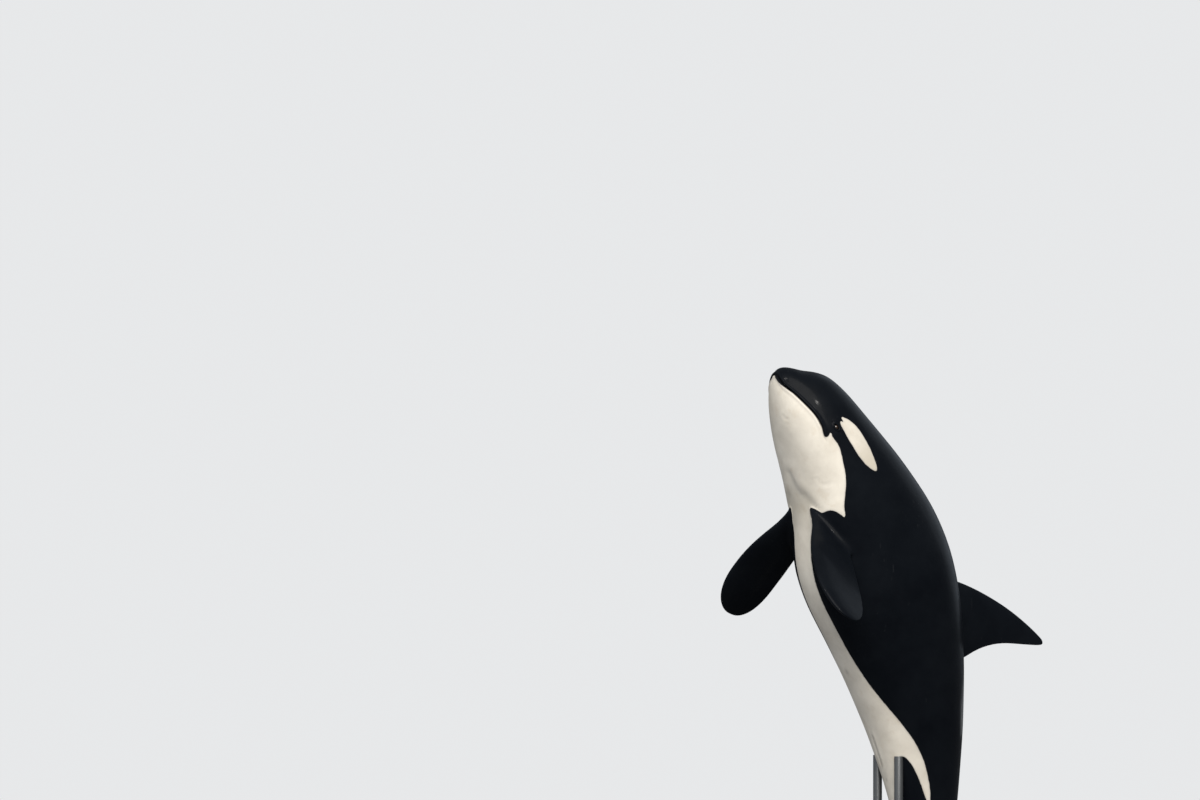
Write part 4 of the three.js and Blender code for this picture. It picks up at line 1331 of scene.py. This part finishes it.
class OrcaEyeSettings(bpy.types.PropertyGroup):
    iris_dark: colour_setting("Iris, dark", "Dark brown of the iris", 0.016, 0.008, 0.004)
    iris_light: colour_setting("Iris, light", "Light brown of the iris", 0.060, 0.030, 0.013)
    cornea_rise: length_setting(
        "Cornea rise", "How far the cornea stands out of the eyeball", 0.0015, 0, 0.01)


class OrcaStandSettings(bpy.types.PropertyGroup):
    edge: length_setting("Edge", "Width of the base's bevelled edge", 0.008, 0, 0.02)
    rod_sink: length_setting("Rod sink", "How far the rods go into the belly", 0.05, 0, 0.2)
    plate_colour: colour_setting("Plate", "Paint of the base", 0.055, 0.058, 0.062)
    rod_colour: colour_setting("Rods", "Paint of the rods", 0.10, 0.105, 0.11)


class OrcaStageSettings(bpy.types.PropertyGroup):
    floor_radius: length_setting("Floor radius", "Radius of the floor", 48.0, 5, 50)
    floor_colour: colour_setting("Floor", "Colour of the floor", 0.60, 0.595, 0.58)
    backdrop: colour_setting("Backdrop", "Colour behind the object", 0.80, 0.81, 0.82)
    key_strength: number_setting("Key light", "Strength of the main light", 3.4)
    spark_strength: number_setting("Spark light", "Strength of the small lights that leave glints", 0.32)
    fill_strength: number_setting("Fill light", "Strength of the fill light", 0.75)
    rim_strength: number_setting("Rim light", "Strength of the light from behind", 0.45)
    sky: number_setting("Surrounding light", "Strength of the light from all round", 0.35, 0, 4)


# Pieces

def add_piece(name, bm, material, sharp=None):
    """A finished piece, smooth but for the edges past an angle in degrees."""
    for face in bm.faces:
        face.smooth = True
    if sharp is not None:
        bm.normal_update()
        for edge in bm.edges:
            if len(edge.link_faces) == 2 and edge.calc_face_angle(0) > math.radians(sharp):
                edge.smooth = False
    mesh = bpy.data.meshes.new(name)
    bm.to_mesh(mesh)
    bm.free()
    mesh.materials.append(material)
    piece = bpy.data.objects.new(name, mesh)
    bpy.context.scene.collection.objects.link(piece)
    return piece


def soften(bm, edges, offset, segments):
    bmesh.ops.bevel(bm, geom=edges, offset=offset, segments=segments, profile=0.5, affect="EDGES",
                    material=-1)


def level_edges(edges, above=-1.0):
    """The edges that lie level, over a height."""
    return [edge for edge in edges
            if abs(edge.verts[0].co.z - edge.verts[1].co.z) < 1e-6 and edge.verts[0].co.z > above]


def upright(x, radius, segments, bottom, top):
    """A round bar or disc that stands at x on the middle line."""
    bm = bmesh.new()
    ring = bmesh.ops.create_circle(bm, cap_ends=True, radius=radius, segments=segments)["verts"]
    bmesh.ops.translate(bm, vec=(x, 0, bottom), verts=ring)
    made = bmesh.ops.extrude_face_region(bm, geom=list(bm.faces))["geom"]
    moved = [item for item in made if isinstance(item, bmesh.types.BMVert)]
    bmesh.ops.translate(bm, vec=(0, 0, top - bottom), verts=moved)
    bmesh.ops.recalc_face_normals(bm, faces=bm.faces)
    return bm


def rod_top(x):
    """The height at which an upright bar at x, on the middle line, meets the belly."""
    z = np.linspace(1.5, 3.4, 1901)
    _, _, out = on_body(np.stack([np.full_like(z, x), np.zeros_like(z), z], axis=1))
    return float(z[np.argmax(out < 1)])


class ORCA_OT_skin(bpy.types.Operator):
    """Models the whole skin in one piece, with fins, mouth line, lids and blowhole"""
    bl_idname = "orca.skin"
    bl_label = "Skin"

    def execute(self, context):
        piece = add_piece("orca_skin", model_skin(), skin_material(context.scene.orca_skin))
        for name in ("s", "angle", "rim"):
            piece.data.attributes.remove(piece.data.attributes[name])
        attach(piece, "root")
        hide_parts("head", "lower_jaw", "chest", "abdomen", "tail_stock", "dorsal_fin",
                    "flipper_left", "flipper_right", "fluke_left", "fluke_right")
        return {"FINISHED"}


class ORCA_OT_eyes(bpy.types.Operator):
    """Models the two eyeballs, each with a raised cornea over a brown iris"""
    bl_idname = "orca.eyes"
    bl_label = "Eyes"
    cornea_width = 0.42

    def execute(self, context):
        settings = context.scene.orca_eye
        material = eye_material(settings)
        for sign, hand in ((1, "left"), (-1, "right")):
            origin, along, _, out = local_frame(EYE_AT, EYE_ANGLE * sign)
            middle = origin + out * (EYE_PROUD - EYE_RADIUS)
            bm = bmesh.new()
            bmesh.ops.create_uvsphere(bm, u_segments=64, v_segments=40, radius=EYE_RADIUS)
            aim, around = [], []
            for vert in bm.verts:
                polar = math.acos(max(-1.0, min(1.0, vert.co.z / EYE_RADIUS)))
                aim.append(polar)
                around.append(math.sin(math.atan2(vert.co.y, vert.co.x) * FIBRE_FOLDS))
                rise = settings.cornea_rise * math.exp(-(polar / self.cornea_width) ** 2)
                vert.co *= 1 + rise / EYE_RADIUS
            turn = Matrix((along, np.cross(out, along), out)).transposed().to_4x4()
            bmesh.ops.transform(bm, verts=bm.verts, matrix=Matrix.Translation(Vector(middle)) @ turn)
            bmesh.ops.recalc_face_normals(bm, faces=bm.faces)
            piece = add_piece(f"eyeball_{hand}", bm, material)
            for name, values in (("aim", aim), ("around", around)):
                piece.data.attributes.new(name, "FLOAT", "POINT").data.foreach_set("value", values)
            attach(piece, "root")
            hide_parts(f"eye_{hand}")
        return {"FINISHED"}


class ORCA_OT_stand(bpy.types.Operator):
    """Models the display stand: a base with a softened edge, two rods and their bolted feet"""
    bl_idname = "orca.stand"
    bl_label = "Stand"

    def execute(self, context):
        settings = context.scene.orca_stand
        self.base(paint_material("Base paint", settings.plate_colour, 0.8, 0.45, 0.0, 700.0), settings.edge)
        paint = paint_material("Rod paint", settings.rod_colour, 0.85, 0.36, 0.6, 900.0)
        for x, hand in ((ROD_X, "left"), (-ROD_X, "right")):
            self.rod(x, hand, paint, rod_top(ROD_X) + settings.rod_sink)
            self.foot(x, hand, paint)
        return {"FINISHED"}

    def base(self, paint, edge):
        low, high = (Vector(corner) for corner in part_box("stand_base"))
        size, middle = high - low, (high + low) / 2
        bm = bmesh.new()
        bmesh.ops.create_cube(bm, size=1)
        bmesh.ops.scale(bm, vec=size, verts=bm.verts)
        bmesh.ops.translate(bm, vec=middle, verts=bm.verts)
        uprights = [e for e in bm.edges if abs(e.verts[0].co.z - e.verts[1].co.z) > size.z / 2]
        soften(bm, uprights, BASE_CORNER, 16)
        soften(bm, level_edges(bm.edges), edge, 4)
        piece = add_piece("stand_plate", bm, paint, SHARP_EDGE)
        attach(piece, "root")
        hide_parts("stand_base")

    def rod(self, x, hand, paint, top):
        bm = upright(x, ROD_RADIUS, 64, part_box(f"stand_rod_{hand}")[0][2], top)
        soften(bm, level_edges(bm.edges), 0.002, 2)
        piece = add_piece(f"stand_post_{hand}", bm, paint, SHARP_EDGE)
        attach(piece, "root")
        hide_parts(f"stand_rod_{hand}")

    def foot(self, x, hand, paint):
        low, high = (corner[2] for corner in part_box(f"stand_foot_{hand}"))
        bm = upright(x, FOOT_RADIUS, 72, low, high)
        soften(bm, level_edges(bm.edges, (low + high) / 2), 0.003, 3)
        for k in range(BOLTS):
            turn = math.radians(30) + 2 * math.pi * k / BOLTS
            at = (x + BOLT_CIRCLE * math.cos(turn), BOLT_CIRCLE * math.sin(turn),
                  high + BOLT_SHOWS - BOLT_HEIGHT / 2)
            bolt = bmesh.ops.create_cone(bm, cap_ends=True, segments=6, radius1=BOLT_RADIUS,
                                         radius2=BOLT_RADIUS, depth=BOLT_HEIGHT)["verts"]
            edges = level_edges(dict.fromkeys(edge for vert in bolt for edge in vert.link_edges), 0.0)
            bmesh.ops.translate(bm, vec=at, verts=bolt)
            soften(bm, edges, 0.0015, 2)
        piece = add_piece(f"stand_flange_{hand}", bm, paint, SHARP_EDGE)
        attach(piece, "root")
        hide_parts(f"stand_foot_{hand}")


# Light from all round, by height
SKY = ((0.30, (0.16, 0.17, 0.19)), (0.52, (0.42, 0.46, 0.52)), (0.95, (0.95, 0.98, 1.0)))
# Each lamp: where it is, along the view, to its right and up, then its spread in degrees and its colour
LAMPS = (
    ("Key", (-0.76, 0.10, 0.63), 50, (1.0, 0.965, 0.91)),
    ("Spark", (-0.63, 0.44, 0.64), 2.5, (1.0, 0.97, 0.92)),
    ("Front spark", (-0.52, -0.41, 0.75), 2.5, (1.0, 0.97, 0.92)),
    ("Fill", (-0.35, -0.9, 0.12), 80, (0.90, 0.95, 1.0)),
    ("Rim", (0.80, 0.70, 0.45), 50, (0.78, 0.88, 1.0)),
)


class ORCA_OT_stage(bpy.types.Operator):
    """Sets the floor, the backdrop, the lights and the photograph's camera"""
    bl_idname = "orca.stage"
    bl_label = "Studio"

    def execute(self, context):
        settings = context.scene.orca_stage
        bm = bmesh.new()
        bmesh.ops.create_circle(bm, cap_ends=True, radius=settings.floor_radius, segments=128)
        floor = add_piece("studio_floor", bm, floor_material(settings.floor_colour))
        azimuth = math.radians(VIEW_AZIMUTH)
        look = Vector((-math.sin(azimuth), math.cos(azimuth), 0))
        right = Vector((math.cos(azimuth), math.sin(azimuth), 0))
        self.world(context.scene, settings)
        self.lights(context.scene, settings, look, right)
        self.camera(context.scene, look, right)
        context.scene.view_settings.view_transform = "Standard"
        return {"FINISHED"}

    def world(self, scene, settings):
        scene.world = bpy.data.worlds.new("Studio")
        scene.world.use_nodes = True
        wiring = Wiring(scene.world.node_tree)
        nodes = wiring.nodes
        shown = nodes["Background"]
        shown.inputs["Color"].default_value = settings.backdrop
        direction = nodes.new("ShaderNodeTexCoord").outputs["Generated"]
        split = wiring.add("ShaderNodeSeparateXYZ", {0: direction})
        height = wiring.even(split.outputs["Z"], 0.0, 1.0, -1.0, 1.0)
        sky = wiring.ramp(height, *SKY)
        lit = wiring.add("ShaderNodeBackground", {"Color": sky, "Strength": settings.sky})
        wiring.camera_choice(shown.outputs[0], lit.outputs[0], nodes["World Output"])

    def lights(self, scene, settings, look, right):
        strengths = (settings.key_strength, settings.spark_strength, settings.spark_strength * 2,
                     settings.fill_strength, settings.rim_strength)
        for (name, toward, spread, colour), strength in zip(LAMPS, strengths):
            data = bpy.data.lights.new(name, "SUN")
            data.angle = math.radians(spread)
            data.energy = strength
            data.color = colour
            lamp = bpy.data.objects.new(name, data)
            direction = look * toward[0] + right * toward[1] + Vector((0, 0, toward[2]))
            lamp.rotation_euler = (-direction).to_track_quat("-Z", "Y").to_euler()
            scene.collection.objects.link(lamp)

    def camera(self, scene, look, right):
        across = (SNOUT_PIXEL[0] - PICTURE_WIDTH / 2) / PIXELS_PER_METRE
        rise = (PICTURE_HEIGHT / 2 - SNOUT_PIXEL[1]) / PIXELS_PER_METRE
        aim = Vector((0, SNOUT_Y, SNOUT_Z)) - right * across - Vector((0, 0, rise))
        data = bpy.data.cameras.new("Photograph")
        data.lens = LENS
        data.sensor_width = SENSOR
        data.clip_end = CAMERA_REACH
        camera = bpy.data.objects.new("Photograph", data)
        camera.location = aim - look * (LENS / SENSOR * PICTURE_WIDTH / PIXELS_PER_METRE)
        camera.rotation_euler = look.to_track_quat("-Z", "Y").to_euler()
        scene.collection.objects.link(camera)
        scene.camera = camera


OPERATORS = (ORCA_OT_skin, ORCA_OT_eyes, ORCA_OT_stand, ORCA_OT_stage)
SETTINGS = (
    ("orca_skin", OrcaSkinSettings), ("orca_eye", OrcaEyeSettings),
    ("orca_stand", OrcaStandSettings), ("orca_stage", OrcaStageSettings),
)


class ORCA_PT_panel(bpy.types.Panel):
    """Lists the pieces of the figure and their settings"""
    bl_idname = "ORCA_PT_panel"
    bl_label = "Orca figure"
    bl_space_type = "VIEW_3D"
    bl_region_type = "UI"
    bl_category = "Orca"

    def draw(self, context):
        for operator, (name, kind) in zip(OPERATORS, SETTINGS):
            box = self.layout.box()
            box.operator(operator.bl_idname)
            settings = getattr(context.scene, name)
            for field in kind.__annotations__:
                box.prop(settings, field)


def register():
    for name, kind in SETTINGS:
        bpy.utils.register_class(kind)
        setattr(bpy.types.Scene, name, bpy.props.PointerProperty(type=kind))
    for kind in (*OPERATORS, ORCA_PT_panel):
        bpy.utils.register_class(kind)


def unregister():
    for kind in (ORCA_PT_panel, *reversed(OPERATORS)):
        bpy.utils.unregister_class(kind)
    for name, kind in reversed(SETTINGS):
        delattr(bpy.types.Scene, name)
        bpy.utils.unregister_class(kind)


def main():
    register()
    bpy.ops.orca.skin()
    bpy.ops.orca.eyes()
    bpy.ops.orca.stand()
    bpy.ops.orca.stage()


if __name__ == "__main__":
    main()
